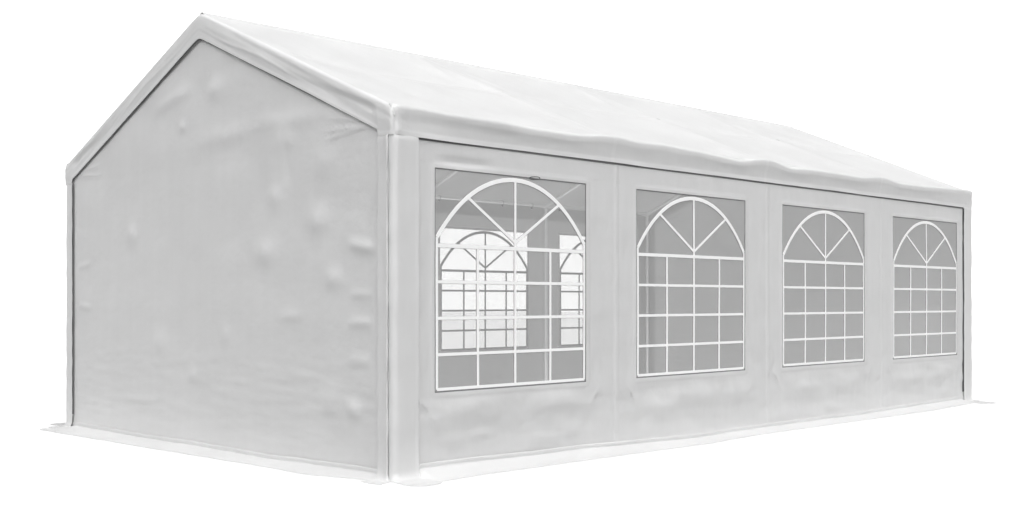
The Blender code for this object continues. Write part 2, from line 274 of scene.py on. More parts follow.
def cloth(name, points, cut, thickness, material, missing=None, welded=None):
    """A closed sheet: an outer face through a grid of points, and an inner one a thickness behind
    it. cut gives each point's place on the flat cloth, missing marks the open cells, and welded the
    bands."""
    normal = np.cross(np.gradient(points, axis=0), np.gradient(points, axis=1))
    normal = normal / np.maximum(np.linalg.norm(normal, axis=2, keepdims=True), 1e-12)
    vertices = np.concatenate([points.reshape(-1, 3), (points - normal * thickness).reshape(-1, 3)])
    shape = points.shape[:2]
    cells = (shape[0] - 1, shape[1] - 1)
    there = np.ones(cells, bool) if missing is None else ~missing
    used, faces = np.unique(sheet_faces(there), return_inverse=True)
    faces = faces.reshape(-1, 4)
    mesh = bpy.data.meshes.new(name)
    mesh.vertices.add(len(used))
    mesh.vertices.foreach_set("co", vertices[used].astype(np.float32).ravel())
    mesh.loops.add(faces.size)
    mesh.loops.foreach_set("vertex_index", faces.astype(np.int32).ravel())
    mesh.polygons.add(len(faces))
    mesh.polygons.foreach_set("loop_start", np.arange(0, faces.size, 4, dtype=np.int32))
    mesh.update(calc_edges=True)
    flat = np.concatenate([np.broadcast_to(cut, shape + (2,)).reshape(-1, 2)] * 2)[used]
    flat = flat[faces.ravel()].astype(np.float32)
    mesh.uv_layers.new(name="Cut").data.foreach_set("uv", flat.ravel())
    share = np.zeros(shape) if welded is None else np.broadcast_to(welded, shape)
    share = np.concatenate([share.ravel()] * 2)[used].astype(np.float32)
    mesh.attributes.new("Welded", "FLOAT", "POINT").data.foreach_set("value", share)
    mesh.polygons.foreach_set("use_smooth", np.arange(len(faces)) < 2 * there.sum())
    mesh.set_sharp_from_angle(angle=radians(60))
    mesh.materials.append(material)
    return link_object(name, mesh)


def finish_piece(obj, node=None):
    """Rides a piece on the tent's one body, and hides the node it stands for."""
    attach(obj, "root")
    if node:
        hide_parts(node)


# Shader trees

def feed(node, inputs):
    """Gives each named input its value, or a link from the socket that feeds it."""
    for socket, value in inputs.items():
        if isinstance(value, bpy.types.NodeSocket):
            node.id_data.links.new(value, node.inputs[socket])
        else:
            node.inputs[socket].default_value = value
    return node


def add_node(tree, kind, inputs=None, **settings):
    """A node with its settings and its inputs."""
    node = tree.nodes.new(kind)
    for key, value in settings.items():
        setattr(node, key, value)
    return feed(node, inputs or {})


def result_of(tree, kind, inputs=None, **settings):
    """The first thing that a new node gives."""
    return add_node(tree, kind, inputs, **settings).outputs[0]


def calculate(tree, operation, first, second=0.0, clamp=False):
    """One step of sums on single values."""
    inputs = {0: first, 1: second}
    return result_of(tree, "ShaderNodeMath", inputs, operation=operation, use_clamp=clamp)


def times(tree, first, second):
    return calculate(tree, "MULTIPLY", first, second)


def blend_colours(tree, share, first, second):
    """Two colours mixed by a share."""
    inputs = {0: share, 6: first, 7: second}
    return add_node(tree, "ShaderNodeMix", inputs, data_type="RGBA").outputs[2]


def map_range(tree, value, low, high, to_low, to_high):
    """A value taken from one range to another, and held inside it."""
    inputs = {0: value, 1: low, 2: high, 3: to_low, 4: to_high}
    return result_of(tree, "ShaderNodeMapRange", inputs)


def noise_node(tree, vector, scale, detail, roughness=0.5):
    """The value of a noise texture."""
    inputs = {"Vector": vector, "Scale": scale, "Detail": detail, "Roughness": roughness}
    return result_of(tree, "ShaderNodeTexNoise", inputs)


def stretched_noise(tree, vector, stretch, detail, roughness=0.5):
    """The value of a noise texture stretched by its own factor in each direction."""
    place = result_of(tree, "ShaderNodeMapping", {0: vector, 3: stretch})
    return noise_node(tree, place, 1.0, detail, roughness)


def bump_node(tree, strength, distance, height, **normal):
    """A normal that a height has tilted, on top of an earlier one if that is given as Normal."""
    inputs = {"Strength": strength, "Distance": distance, "Height": height, **normal}
    return result_of(tree, "ShaderNodeBump", inputs)


def object_place(tree):
    return add_node(tree, "ShaderNodeTexCoord").outputs["Object"]


def flat_cut(tree):
    return result_of(tree, "ShaderNodeUVMap", uv_map="Cut")


def tinted(colour, factor):
    """A colour made lighter or darker, with its fourth number."""
    return [min(1.0, c * factor) for c in colour] + [1.0]


def shaded(tree, share, colour, low, high):
    """A colour between a darker and a lighter tint of itself, by a share."""
    return blend_colours(tree, share, tinted(colour, low), tinted(colour, high))


def kept(store, name):
    """Makes a material or node group under its name once, and gives the same one after that."""
    def wrap(make):
        return lambda: getattr(bpy.data, store).get(name) or make(name)
    return wrap


def new_tree(kind, name, inputs, outputs):
    """An empty node tree: itself, what its inputs give and its output node. Sockets have a kind and
    a start."""
    tree = bpy.data.node_groups.new(name, kind)
    for socket, (socket_kind, start) in inputs.items():
        made = tree.interface.new_socket(
            socket, in_out="INPUT", socket_type="NodeSocket" + socket_kind)
        if start is not None:
            made.default_value = start
    for socket, socket_kind in outputs.items():
        tree.interface.new_socket(socket, in_out="OUTPUT", socket_type="NodeSocket" + socket_kind)
    return tree, tree.nodes.new("NodeGroupInput").outputs, tree.nodes.new("NodeGroupOutput")


@kept("node_groups", "Tape weave")
def weave_group(name):
    """The fine square weave of coated tape cloth, on the flat cut of the piece: its height, and a
    share that is 1 in the weave's valleys, where shade is painted.
    """
    inputs = {"Cut": ("Vector", None), "Pitch": ("Float", 0.0045)}
    outputs = {"Height": "Float", "Grid": "Float"}
    group, given, result = new_tree("ShaderNodeTree", name, inputs, outputs)
    parts = add_node(group, "ShaderNodeSeparateXYZ", {0: given["Cut"]}).outputs
    waves = []
    for axis in (0, 1):
        turn = times(group, calculate(group, "DIVIDE", parts[axis], given["Pitch"]), pi)
        waves.append(calculate(group, "ABSOLUTE", calculate(group, "SINE", turn)))
    lines = calculate(group, "MINIMUM", *waves)
    feed(result, {
        "Height": times(group, *waves), "Grid": map_range(group, lines, 0.0, 0.35, 1.0, 0.0)})
    return group


@kept("node_groups", "Weathered cloth")
def ageing_group(name):
    """Cloudy tone, faint upright streaks, creases, dust at the ground and a greyer lower half."""
    inputs = {
        "Place": ("Vector", None), "Cut": ("Vector", None),
        "Dust height": ("Float", 0.16), "Grey height": ("Float", 1.4)}
    outputs = dict.fromkeys(("Cloud", "Streak", "Dust", "Greyed", "Creases"), "Float")
    group, given, result = new_tree("ShaderNodeTree", name, inputs, outputs)
    height = add_node(group, "ShaderNodeSeparateXYZ", {0: given["Place"]}).outputs[2]
    rise = calculate(group, "DIVIDE", height, given["Dust height"])
    near_ground = calculate(group, "SUBTRACT", 1.0, rise, clamp=True)
    near_ground = calculate(group, "POWER", near_ground, 2.0)
    specks = noise_node(group, given["Place"], 34.0, 3.0, 0.7)
    specks = map_range(group, specks, 0.35, 0.7, 0.2, 1.0)
    cells = noise_node(group, given["Cut"], 9.0, 3.0)
    folded = calculate(group, "ABSOLUTE", calculate(group, "SUBTRACT", cells, 0.5))
    feed(result, {
        "Cloud": noise_node(group, given["Place"], 2.3, 4.0, 0.55),
        "Streak": stretched_noise(group, given["Cut"], (9.0, 0.7, 1.0), 3.0, 0.6),
        "Dust": times(group, near_ground, specks),
        "Greyed": map_range(group, height, 0.0, given["Grey height"], 1.0, 0.0),
        "Creases": map_range(group, folded, 0.0, 0.12, 0.0, 1.0)})
    return group


def new_material(name):
    """An empty material: its tree and its Principled shader."""
    material = bpy.data.materials.new(name)
    material.use_nodes = True
    tree = material.node_tree
    return material, tree, next(n for n in tree.nodes if n.type == "BSDF_PRINCIPLED")


def cloth_material(name, colour, roughness, glow):
    """Coated white cloth that lets light through, woven and weathered, with glossier welded
    bands."""
    cloths = bpy.context.scene.tent_cloth
    material, tree, shader = new_material(name)
    place, cut = object_place(tree), flat_cut(tree)
    weave = add_node(tree, "ShaderNodeGroup", node_tree=weave_group())
    weave = feed(weave, {"Cut": cut}).outputs
    age = add_node(tree, "ShaderNodeGroup", node_tree=ageing_group())
    age = feed(age, {"Place": place, "Cut": cut}).outputs
    bands = add_node(tree, "ShaderNodeAttribute", attribute_name="Welded").outputs["Fac"]
    cloud = map_range(tree, age["Cloud"], 0.3, 0.7, -0.5, 0.5)
    streak = map_range(tree, age["Streak"], 0.3, 0.7, -0.3, 0.3)
    tone = map_range(tree, calculate(tree, "ADD", cloud, streak), -0.8, 0.8, 0.0, 1.0)
    base = shaded(tree, tone, colour, 0.965, 1.03)
    # The weave's valleys are painted darker, as shade
    for source, strength, tint in (
            (weave["Grid"], 0.08, 0.8), (bands, 0.5, 1.06), (age["Greyed"], cloths.greying, 0.5)):
        base = blend_colours(tree, times(tree, source, strength), base, tinted(colour, tint))
    base = blend_colours(tree, times(tree, age["Dust"], cloths.dust), base, (0.42, 0.39, 0.34, 1.0))
    rough = map_range(tree, age["Cloud"], 0.3, 0.7, roughness - 0.06, roughness + 0.06)
    small = bump_node(tree, 0.25, 0.0012, age["Creases"])
    feed(shader, {
        "Base Color": base,
        "Roughness": calculate(tree, "SUBTRACT", rough, times(tree, bands, 0.08)),
        "Normal": bump_node(tree, 0.35, 0.0004, weave["Height"], Normal=small),
        "Specular IOR Level": 0.5, "Sheen Weight": 0.05, "Subsurface Weight": glow,
        "Subsurface Radius": (1.0, 1.0, 1.0), "Subsurface Scale": 0.01})
    return material


@kept("materials", "Cover cloth")
def cover_material(name):
    cloths = bpy.context.scene.tent_cloth
    return cloth_material(name, cloths.cover_colour, 0.44, cloths.roof_glow)


@kept("materials", "Wall cloth")
def wall_material(name):
    cloths = bpy.context.scene.tent_cloth
    return cloth_material(name, cloths.wall_colour, 0.48, cloths.wall_glow)


def plain_material(name, colour, roughness, metallic=0.0):
    """A smooth hard surface with faint clouds and fine pits."""
    material, tree, shader = new_material(name)
    place = object_place(tree)
    cloud = noise_node(tree, place, 7.0, 3.0)
    feed(shader, {
        "Base Color": shaded(tree, cloud, colour, 0.95, 1.03),
        "Roughness": map_range(tree, cloud, 0.3, 0.7, roughness - 0.05, roughness + 0.05),
        "Normal": bump_node(tree, 0.2, 0.0003, noise_node(tree, place, 420.0, 2.0)),
        "Metallic": metallic})
    return material


# Settings

def length_setting(name, description, default):
    return FloatProperty(name=name, description=description, default=default, unit="LENGTH")


def number_setting(name, description, default):
    return FloatProperty(name=name, description=description, default=default)


def colour_setting(name, description, *default):
    """A colour from its three numbers, or a grey from one."""
    default = default if len(default) == 3 else default * 3
    return FloatVectorProperty(
        name=name, description=description, default=default, subtype="COLOR", size=3, min=0, max=1)


def share_setting(name, description, default):
    return FloatProperty(
        name=name, description=description, default=default, subtype="FACTOR", min=0, max=1)


def angle_setting(name, description, default):
    return FloatProperty(
        name=name, description=description, default=radians(default), subtype="ANGLE")


class TentClothSettings(bpy.types.PropertyGroup):
    """Sizes and colours of the cloths."""
    thickness: length_setting("Cloth thickness", "Thickness of the coated cloth", 0.002)
    grid_step: length_setting("Mesh step", "Longest side of a cell of the wall cloths", 0.023)
    billow: length_setting("Wall billow", "How far a wall bellies out between two posts", 0.005)
    roof_sag: length_setting("Roof sag", "How far the roof hangs between two rafters", 0.034)
    crumple: length_setting("Crumple depth", "Depth of the creases under the windows", 0.012)
    weld_width: length_setting("Weld width", "Width of the overlap of two widths of cloth", 0.035)
    # The dark tapes paint the shadow lines under the valances; this is how far they show
    shadow_tape_shown: length_setting("Shadow tape shown", "How far the tape shows under the valances", 0.012)
    dust: share_setting("Dust", "How strongly dust shows at the foot", 0.05)
    greying: share_setting("Greying", "How much greyer the cloth is at the ground", 0.1)
    roof_glow: share_setting("Roof glow", "Share of the light that spreads inside the cover", 0.45)
    wall_glow: share_setting("Wall glow", "Share of the light that spreads inside the walls", 0.85)
    cover_colour: colour_setting("Cover colour", "Colour of the roof, valances and strips", 0.735)
    wall_colour: colour_setting("Wall colour", "Colour of the walls", 0.787)
    flap_colour: colour_setting("Flap colour", "Colour of the cloth on the ground", 0.76)


class TentWindowSettings(bpy.types.PropertyGroup):
    """Sizes and colours of the windows."""
    bar_width: length_setting("Bar width", "Width of the thin glazing strips", 0.020)
    arch_width: length_setting("Arch width", "Width of the arch", 0.029)
    transom_width: length_setting("Transom width", "Width of the bar under the arch", 0.025)
    border_inset: length_setting("Border inset", "From a window to the middle of its border", 0.020)
    bar_thickness: length_setting("Bar thickness", "Thickness of the strips on the film", 0.0016)
    transom: length_setting("Transom height", "Height of the bar under the arch", 1.447)
    hub: length_setting("Hub height", "Height at which the fan's spokes meet", 1.487)
    arch_top: length_setting("Arch height", "Height of the arch's highest point", 1.906)
    column_pitch: length_setting("Column pitch", "Distance between upright bars", 0.3445)
    row_pitch: length_setting("Row pitch", "Distance between level bars", 0.2295)
    film_haze: share_setting("Film haze", "Share of the light that the film stops", 0.21)
    film_colour: colour_setting("Film colour", "Tint of the clear film", 0.9)
    bar_colour: colour_setting("Bar colour", "Colour of the glazing strips", 0.95)
    # The strips' backs are painted dark as shade, for strips seen from inside against the light;
    # the small loop's own dark cord takes the same colour
    back_shade_and_cord_colour: colour_setting("Bar back shade and cord colour", "Colour of the strips' backs", 0.05, 0.05, 0.052)
    # The windows' dark edge lines are painted shade where the films meet the wall
    edge_shade_colour: colour_setting("Edge shade colour", "Colour of the windows' edges", 0.2, 0.2, 0.202)


class TentFrameSettings(bpy.types.PropertyGroup):
    """Sizes and colours of the steel frame and its fittings."""
    bolt_width: length_setting("Bolt width", "Width of a bolt's head across its corners", 0.015)
    ball_size: length_setting("Ball size", "Radius of the ball on an elastic tie", 0.012)
    tie_pitch: length_setting("Tie pitch", "Distance between the elastic ties on a rail", 0.5)
    steel_colour: colour_setting("Steel colour", "Colour of the zinc-coated tubes", 0.9, 0.91, 0.92)
    bolt_colour: colour_setting("Bolt colour", "Colour of the bolts and washers", 0.6, 0.6, 0.61)
    cord_colour: colour_setting("Cord colour", "Colour of the elastic ties", 0.03, 0.03, 0.032)


class TentStageSettings(bpy.types.PropertyGroup):
    """The floor, the lights and the camera."""
    floor_size: length_setting("Floor size", "Side of the square floor", 160.0)
    floor_colour: colour_setting("Floor colour", "Colour of the floor", 0.28)
    floor_glow: share_setting(
        "Floor glow", "Light that the floor shows to the camera and in reflections", 0.85)
    sky: number_setting("Room light", "Strength of the even light", 0.36)
    backdrop: number_setting("Backdrop", "Brightness of the plain backdrop", 1.6)
    lamp: number_setting("Lamp", "Strength of the wide soft lamp", 3.75)
    lamp_size: angle_setting("Lamp size", "Angle that the lamp fills", 85)
    lamp_lean: angle_setting("Lamp lean", "Angle of the lamp from straight above", 35)
    lamp_turn: angle_setting("Lamp turn", "Turn of the lamp from the front to the left", -39)
    lens: number_setting("Lens", "Focal length on a 36 mm wide frame", 41.589)
    camera_place: FloatVectorProperty(
        name="Camera place", description="Where the camera stands", subtype="TRANSLATION", size=3,
        default=(-8.6221, -7.8235, 1.0950))
    camera_turn: angle_setting("Camera turn", "Turn of the camera's view, from +X", 44.976)
    camera_shift: number_setting("Camera shift", "Upward shift of the picture", 0.04427)


SETTINGS = {
    "tent_cloth": TentClothSettings,
    "tent_window": TentWindowSettings,
    "tent_frame": TentFrameSettings,
    "tent_stage": TentStageSettings,
}


# Stage

class TENT_OT_stage(bpy.types.Operator):
    """Makes the pale floor, the soft lights and the camera"""
    bl_idname = "tent.stage"
    bl_label = "Stage"

    def execute(self, context):
        scene, stage, white = context.scene, context.scene.tent_stage, (1.0, 1.0, 1.0, 1.0)
        bpy.ops.mesh.primitive_plane_add(size=stage.floor_size)
        floor = context.object
        floor.name = "studio_floor"
        material, tree, shader = new_material("Studio floor")
        cloud = noise_node(tree, object_place(tree), 0.6, 3.0)
        path = add_node(tree, "ShaderNodeLightPath").outputs
        seen = calculate(tree, "MAXIMUM", path["Is Camera Ray"], path["Is Glossy Ray"])
        feed(shader, {
            "Base Color": shaded(tree, cloud, stage.floor_colour, 0.985, 1.015),
            "Roughness": 0.9, "Specular IOR Level": 0.1,
            "Emission Strength": times(tree, seen, stage.floor_glow), "Emission Color": white})
        floor.data.materials.append(material)
        light = bpy.data.lights.new("Lamp", "SUN")
        light.energy, light.angle = stage.lamp, stage.lamp_size
        lamp = link_object("Lamp", light)
        lamp.rotation_euler = (stage.lamp_lean, 0.0, stage.lamp_turn)
        lamp.visible_camera = False
        scene.world = bpy.data.worlds.new("Studio")
        scene.world.use_nodes = True
        tree = scene.world.node_tree
        seen = add_node(tree, "ShaderNodeLightPath").outputs["Is Camera Ray"]
        strength = map_range(tree, seen, 0.0, 1.0, stage.sky, stage.backdrop)
        feed(tree.nodes["Background"], {"Color": white, "Strength": strength})
        camera = bpy.data.cameras.new("Camera")
        camera.sensor_width = 36.0
        camera.lens, camera.shift_y = stage.lens, stage.camera_shift
        camera.clip_start, camera.clip_end = 0.1, 300.0
        scene.camera = link_object("Camera", camera)
        scene.camera.location = stage.camera_place
        scene.camera.rotation_euler = (pi / 2, 0.0, stage.camera_turn - pi / 2)
        scene.view_settings.view_transform = "Standard"
        return {"FINISHED"}


# The roof cover

# Distances from a long valance's foot, up over the eave, to the start of the slope and to the ridge
SLOPE_FOOT = DROP + ROLL_ARC
TO_RIDGE = SLOPE_FOOT + SLOPE_LENGTH

# Welded hems: the middle, from the edge of the cloth, and the width. The gable's are parts of its
# valance's fall, with the width of the soft edge last
VALANCE_HEM = (0.014, 0.03)
STRIP_HEM = (0.014, 0.028)
WALL_HEM = (0.03, 0.05)
GABLE_HEM = (0.95, 0.11, 0.02)

# The seam along the middle of a slope, and how far over a rafter's middle the cloth lies flat on it
MIDDLE_SEAM = 0.04
ON_RAFTER = 0.04

# Along the tent: how much higher the eave's edge stands, and how deep the front valance is tucked
# in
EAVE_WAVE = (
    (-4.07, 0.0), (-3.9, 0.004), (-3.7, 0.008), (-3.2, 0.0), (-2.8, -0.012), (-1.8, -0.008),
    (-1.5, 0.016), (-0.9, 0.0), (-0.4, -0.026), (0.36, -0.026), (0.75, -0.004), (1.6, -0.010),
    (2.1, -0.02), (2.9, -0.007), (3.66, 0.018), (4.07, 0.003))
VALANCE_TUCK = (
    (-4.07, 0.0), (-3.75, 0.002), (-3.6, 0.008), (-3.3, 0.016), (-2.95, 0.023), (-2.0, 0.026),
    (3.2, 0.025), (3.8, 0.016), (4.07, 0.009))

# Folds beside each rafter: how far beside it, how far up the cloth, lean, length, width and height
RAFTER_FOLDS = (
    (0.16, TO_RIDGE - 0.45, 0.32, 0.9, 0.05, 0.007),
    (0.14, SLOPE_FOOT + 0.32, -0.42, 0.6, 0.035, 0.006))

# Places along half the roof, with the longest mesh step before each, and the edges of a seam
ROOF_ENDS = (
    (0.0, 0), (3.9, 0.0375), (3.98, 0.02), (4.02, 0.013), (4.05, 0.008), (HALF_LENGTH, 0.005))
SEAM_EDGES = (-0.0215, -0.0175, 0.0175, 0.0215)

# The rails under the roof: place across, height, and how far off the tube the cloth's outer face
# stays
RAILS = ((-RAIL_Y, RAIL_Z, 0.007), (RAIL_Y, RAIL_Z, 0.007), (0.0, RIDGE_RAIL_Z, 0.011))


def slope_line(y, softness=RIDGE_SOFTNESS):
    """Height of the two slopes over a place across the tent, with a soft ridge between them."""
    return RIDGE - SLOPE_TAN * np.sqrt(y ** 2 + softness ** 2)


def roof_line(y):
    """Height of the roof's outer face over a place across the tent."""
    across = np.abs(y)
    roll = ROLL_Z + np.sqrt(np.maximum(EAVE_ROLL ** 2 - np.maximum(across - ROLL_Y, 0) ** 2, 0))
    return np.where(across > SLOPE_START, roll, slope_line(across))


def roof_half():
    """Rows along half a roof section, from the valance's foot to the ridge: distance, place out
    from the middle, height, outward part and upward part of the outward direction."""
    hanging = graded((0.0, 0), (0.028, 0.01), (0.032, 1), (DROP, 0.01))
    rows = [(s, HALF_WIDTH, VALANCE_FOOT + s, 1.0, 0.0) for s in hanging]
    for turn in np.linspace(0, ROLL_TURN, 13)[1:]:
        out, up = cos(turn), sin(turn)
        place = (ROLL_Y + EAVE_ROLL * out, ROLL_Z + EAVE_ROLL * up)
        rows.append((DROP + EAVE_ROLL * turn, *place, out, up))
    middle = SLOPE_LENGTH / 2
    sloping = graded(
        (0.0, 0), (0.05, 0.0125), (0.25, 0.04), (middle - 0.12, 0.06), (middle - 0.024, 0.025),
        (middle + 0.024, 0.006), (middle + 0.12, 0.03), (SLOPE_LENGTH - 0.1, 0.06),
        (SLOPE_LENGTH, 0.0125))
    for s in sloping[1:]:
        out = SLOPE_START - s * SLOPE_COS
        rows.append((SLOPE_FOOT + s, out, slope_line(out), SLOPE_SIN, SLOPE_COS))
    rows[-1] = rows[-1][:3] + (0.0, 1.0)
    return np.array(rows)


def bay_part(x):
    """Where a place along the tent lies between two rafters, from 0 to 1."""
    return np.mod(x - POST_X[0], WINDOW_PITCH) / WINDOW_PITCH


def near_rafter(x, reach=0.09):
    """1 over a rafter, down to 0 over the reach beside it."""
    over = [band(x, place - ON_RAFTER, place + ON_RAFTER, reach) for place in POST_X]
    return np.max(over, axis=0)


def valance_lean(x, from_foot):
    """How a long valance leans out from its foot up to the eave's edge, and back on to the
    slope."""
    height = from_foot / DROP
    lean = along_line(VALANCE_TUCK, x) * (height ** 1.6 - 0.3)
    lean = lean + 0.010 * band(x, -3.85, -3.2, 0.3) * np.clip((height - 0.62) / 0.4, 0, 1.4) ** 1.5
    return lean * smooth_step(from_foot, DROP + 1.35 * ROLL_ARC, DROP + 0.35 * ROLL_ARC)


def valance_relief(x, from_foot, seed):
    """The ripples and the hem of a long valance. x runs from the gable nearest to the folds at its
    end."""
    height = from_foot / DROP
    slant = lattice_noise(x / 0.5 + from_foot / 0.1, from_foot / 0.3, seed + 3)
    ripple = 0.0025 * layered_noise(x / 0.34, from_foot / 0.16 + 7, seed, 3)
    ripple = ripple + 0.004 * slant * (1 - height)
    flare = 0.004 * (1 - smooth_step(height, 0.0, 0.25)) * band(x, -3.8, 3.8, 0.06)
    hem = flare + 0.0009 * weld(from_foot, *VALANCE_HEM)
    first_pad = dent(x, from_foot, -4.03, 0.03, 0.03, 0.03, 0.006)
    return ripple + hem + (first_pad + dent(x, from_foot, -3.72, 0.06, 0.09, 0.04, 0.004))


def clear_of_rails(y, z):
    """Moves a roof's section out to lie on the rails where it would cut into them."""
    for rail_y, rail_z, clear in RAILS:
        away = np.hypot(y - rail_y, z - rail_z)
        push = np.maximum((RAIL_RADIUS + clear) / np.maximum(away, 0.001), 1)
        y, z = rail_y + (y - rail_y) * push, rail_z + (z - rail_z) * push
    return y, z


def roof_relief(x, from_foot, crown):
    """Sag between the rafters, folds beside them, pads and welds of the roof's slopes. crown is the
    distance from the ridge along the cloth."""
    cloths = bpy.context.scene.tent_cloth
    part = np.clip((from_foot - DROP - ROLL_ARC) / SLOPE_LENGTH, 0, 1)
    between = 4 * bay_part(x) * (1 - bay_part(x))
    arched = np.sin(pi * part)
    uneven = 0.005 * layered_noise(x / 0.9, crown / 0.7, 5)
    uneven = uneven - 0.003 * creases(x / 0.33, crown / 0.5, 8)
    from_middle = from_foot - (SLOPE_FOOT + SLOPE_LENGTH / 2)
    lift = (
        -cloths.roof_sag * between * (0.85 * arched ** 0.7 + 0.12 * (part > 0) * (1 - part))
        + arched * uneven
        - 0.010 * bump(from_middle, 0.05, 0.09) + 0.0012 * weld(from_middle, 0.0, MIDDLE_SEAM)
        + 0.002 * packing_lines(crown, 0.41, 3) + 0.0014 * packing_lines(x, 0.5, 4))
    for place in INNER_POST_X:
        lift = lift + 0.0012 * weld(x, place, cloths.weld_width) * (1 - bump(crown, 0, 0.03))
        for sign in (-1, 1):
            for beside, up, lean, *size in RAFTER_FOLDS:
                at_x, angle = place + sign * beside, pi / 2 + sign * lean
                lift = lift + fold(x, from_foot, at_x, up, angle, *size)
    on_rafter = near_rafter(x)
    return lift * (1 - on_rafter) + np.maximum(lift, 0.001) * on_rafter


def sheet_piece(
        name, slot, node, points, cut, material, held, rests_on, flat=None, area=None, **marks):
    """Makes one cloth of the tent and hides the node it stands for; how it is held and what it
    rests on are not used. Without a flat size, that and the area are measured on the points."""
    obj = cloth(name, points, cut, bpy.context.scene.tent_cloth.thickness, material, **marks)
    finish_piece(obj, node)
    if flat is None:
        flat, area = flat_size(points), surface(points)


class TENT_OT_roof(bpy.types.Operator):
    """Makes the roof cover with both its long valances"""
    bl_idname = "tent.roof"
    bl_label = "Roof cover"

    def execute(self, context):
        half = roof_half()
        total = half[-1, 0]
        other = half[:-1][::-1] * (-1, 1, 1, 1, 1) + (2 * total, 0, 0, 0, 0)
        section = np.concatenate([half * (1, -1, 1, -1, 1), other])
        run, across, height, outward, upward = (column[None, :] for column in section.T)
        from_foot = np.minimum(run, 2 * total - run)
        front = run < total
        seams = [place + edge for place in INNER_POST_X for edge in SEAM_EDGES]
        x = np.concatenate([both_ways(graded(*ROOF_ENDS)), seams])
        x = np.unique(x.round(5))[:, None] + 0 * run
        lift = roof_relief(x, from_foot, run - total)
        turned = np.clip((from_foot - DROP) / EAVE_ROLL, 0, ROLL_TURN)
        lift = lift + 0.5 * EAVE_ROLL * (1 / np.cos(np.minimum(turned, ROLL_TURN - turned)) - 1)
        hanging = smooth_step(DROP - from_foot, -0.02, 0.012)
        shape = np.where(front, valance_relief(x, from_foot, 13), valance_relief(-x, from_foot, 29))
        lift = lift * (1 - hanging) + hanging * shape
        lift = lift + np.where(front, valance_lean(x, from_foot), valance_lean(-x, from_foot))
        end = HALF_LENGTH - np.abs(x)
        lower = smooth_step(SLOPE_FOOT - from_foot, -0.05, 0.02)
        lift = lift - lower * fall_back(end, 0.045) + lower * 0.006 * band(end, 0.045, 0.085, 0.045)
        inset = 0.024 * (1 - lower) * smooth_step(np.abs(x), 3.6, HALF_LENGTH) / HALF_LENGTH
        off_rafter = 1 - near_rafter(x, 0.4)
        wave = np.where(front, along_line(EAVE_WAVE, x), along_line(EAVE_WAVE, -x) * 0.8)
        wave = np.where(wave < 0, wave * off_rafter, wave)
        wave = wave * bump(from_foot, DROP + ROLL_ARC * 0.55, 0.085)
        slack = 0.018 * bump(from_foot, DROP + ROLL_ARC * 0.5, 0.07) * off_rafter
        uneven = hanging * 0.003 * (1 - from_foot / DROP) * lattice_noise(x / 0.7, 0.5, 21)
        z = height + lift * upward + wave - slack + uneven
        y, z = clear_of_rails(across + lift * outward, z)
        points = np.stack(np.broadcast_arrays(x * (1 - inset), y, z), axis=-1)
        width = context.scene.tent_cloth.weld_width
        welded = weld(from_foot, *VALANCE_HEM)
        welded = welded + weld(from_foot - SLOPE_FOOT, SLOPE_LENGTH / 2, MIDDLE_SEAM)
        welded = welded + sum(weld(x, place, width) for place in INNER_POST_X)
        sheet_piece(
            "roof_cover_cloth", "cover_cloth", "roof_cover", points, pairs(x, run),
            cover_material(), held="stretched",
            rests_on=["ridge_rail", "front_eave_rail", "back_eave_rail"],
            flat=(2 * total, 2 * HALF_LENGTH), welded=welded)
        return {"FINISHED"}


# The gable valances

# Radius of the roll over the roof's edge, how far the cloth laps on to the roof, and the radius at
# the corners
GABLE_ROLL = 0.026
GABLE_LAP = 0.03
GABLE_CORNER = 0.022

# Places across half a gable, with the longest mesh step before each
GABLE_PLACES = (
    (0.0, 0), (2.105, 0.018), (2.115, 0.003), (2.2, 0.016), (2.235, 0.008), (HALF_WIDTH, 0.005))


def gable_edge(y):
    """Height of the lower edge of a gable's valance along the slopes."""
    return slope_line(y, GABLE_FOOT_SOFTNESS) - GABLE_DROP


def gable_foot(y):
    """Height of the lower edge of a gable's valance, level at the corner strips."""
    foot = np.maximum(gable_edge(y), VALANCE_FOOT)
    strip_edge = HALF_WIDTH - STRIP_ON_GABLE
    on_strip = smooth_step(np.abs(y), strip_edge - 0.004, strip_edge + 0.004)
    return foot - (foot - VALANCE_FOOT) * on_strip


def gable_valance_relief(y, down, fall, seed):
    """Small folds along the slope, the long tuck that deepens to the low ends, and the hem."""
    across = np.abs(y)
    depth = 0.0025 + 0.002 * smooth_step(across, 0.9, 1.9)
    folds = depth * layered_noise(down / 0.05 - across / 1.2, across / 1.3 + down / 0.4, seed, 2)
    folds = folds + 0.003 * layered_noise(y / 0.3, down / 0.2, seed + 7, 2)
    start = 0.55 - 0.27 * smooth_step(across, 1.2, 2.15)
    tuck = smooth_step(fall, start - 0.12, start + 0.14)
    tuck = tuck - 0.8 * smooth_step(fall, start + 0.14, 1.0)
    uneven = 1 + 0.5 * lattice_noise(across / 0.35, 0.5, seed + 5)
    tuck = -0.015 * smooth_step(across, 0.95, 1.9) * tuck * uneven
    small = fold(across, down, 0.55, 0.115, -0.05, 0.5, 0.012, 0.004)
    small = small + fold(across, down, 0.95, 0.105, 0.06, 0.4, 0.012, 0.004)
    strip_edge = HALF_WIDTH - STRIP_ON_GABLE
    on_strip = smooth_step(across, strip_edge - 0.08, strip_edge)
    loose = (1 - 0.8 * smooth_step(fall, 0.65, 1.0)) * (1 - on_strip * smooth_step(fall, 0.1, 0.7))
    hem = 0.001 * weld(fall, *GABLE_HEM)
    return (folds + small) * loose + tuck * (1 - on_strip) + hem + 0.004 * np.sin(pi * fall)


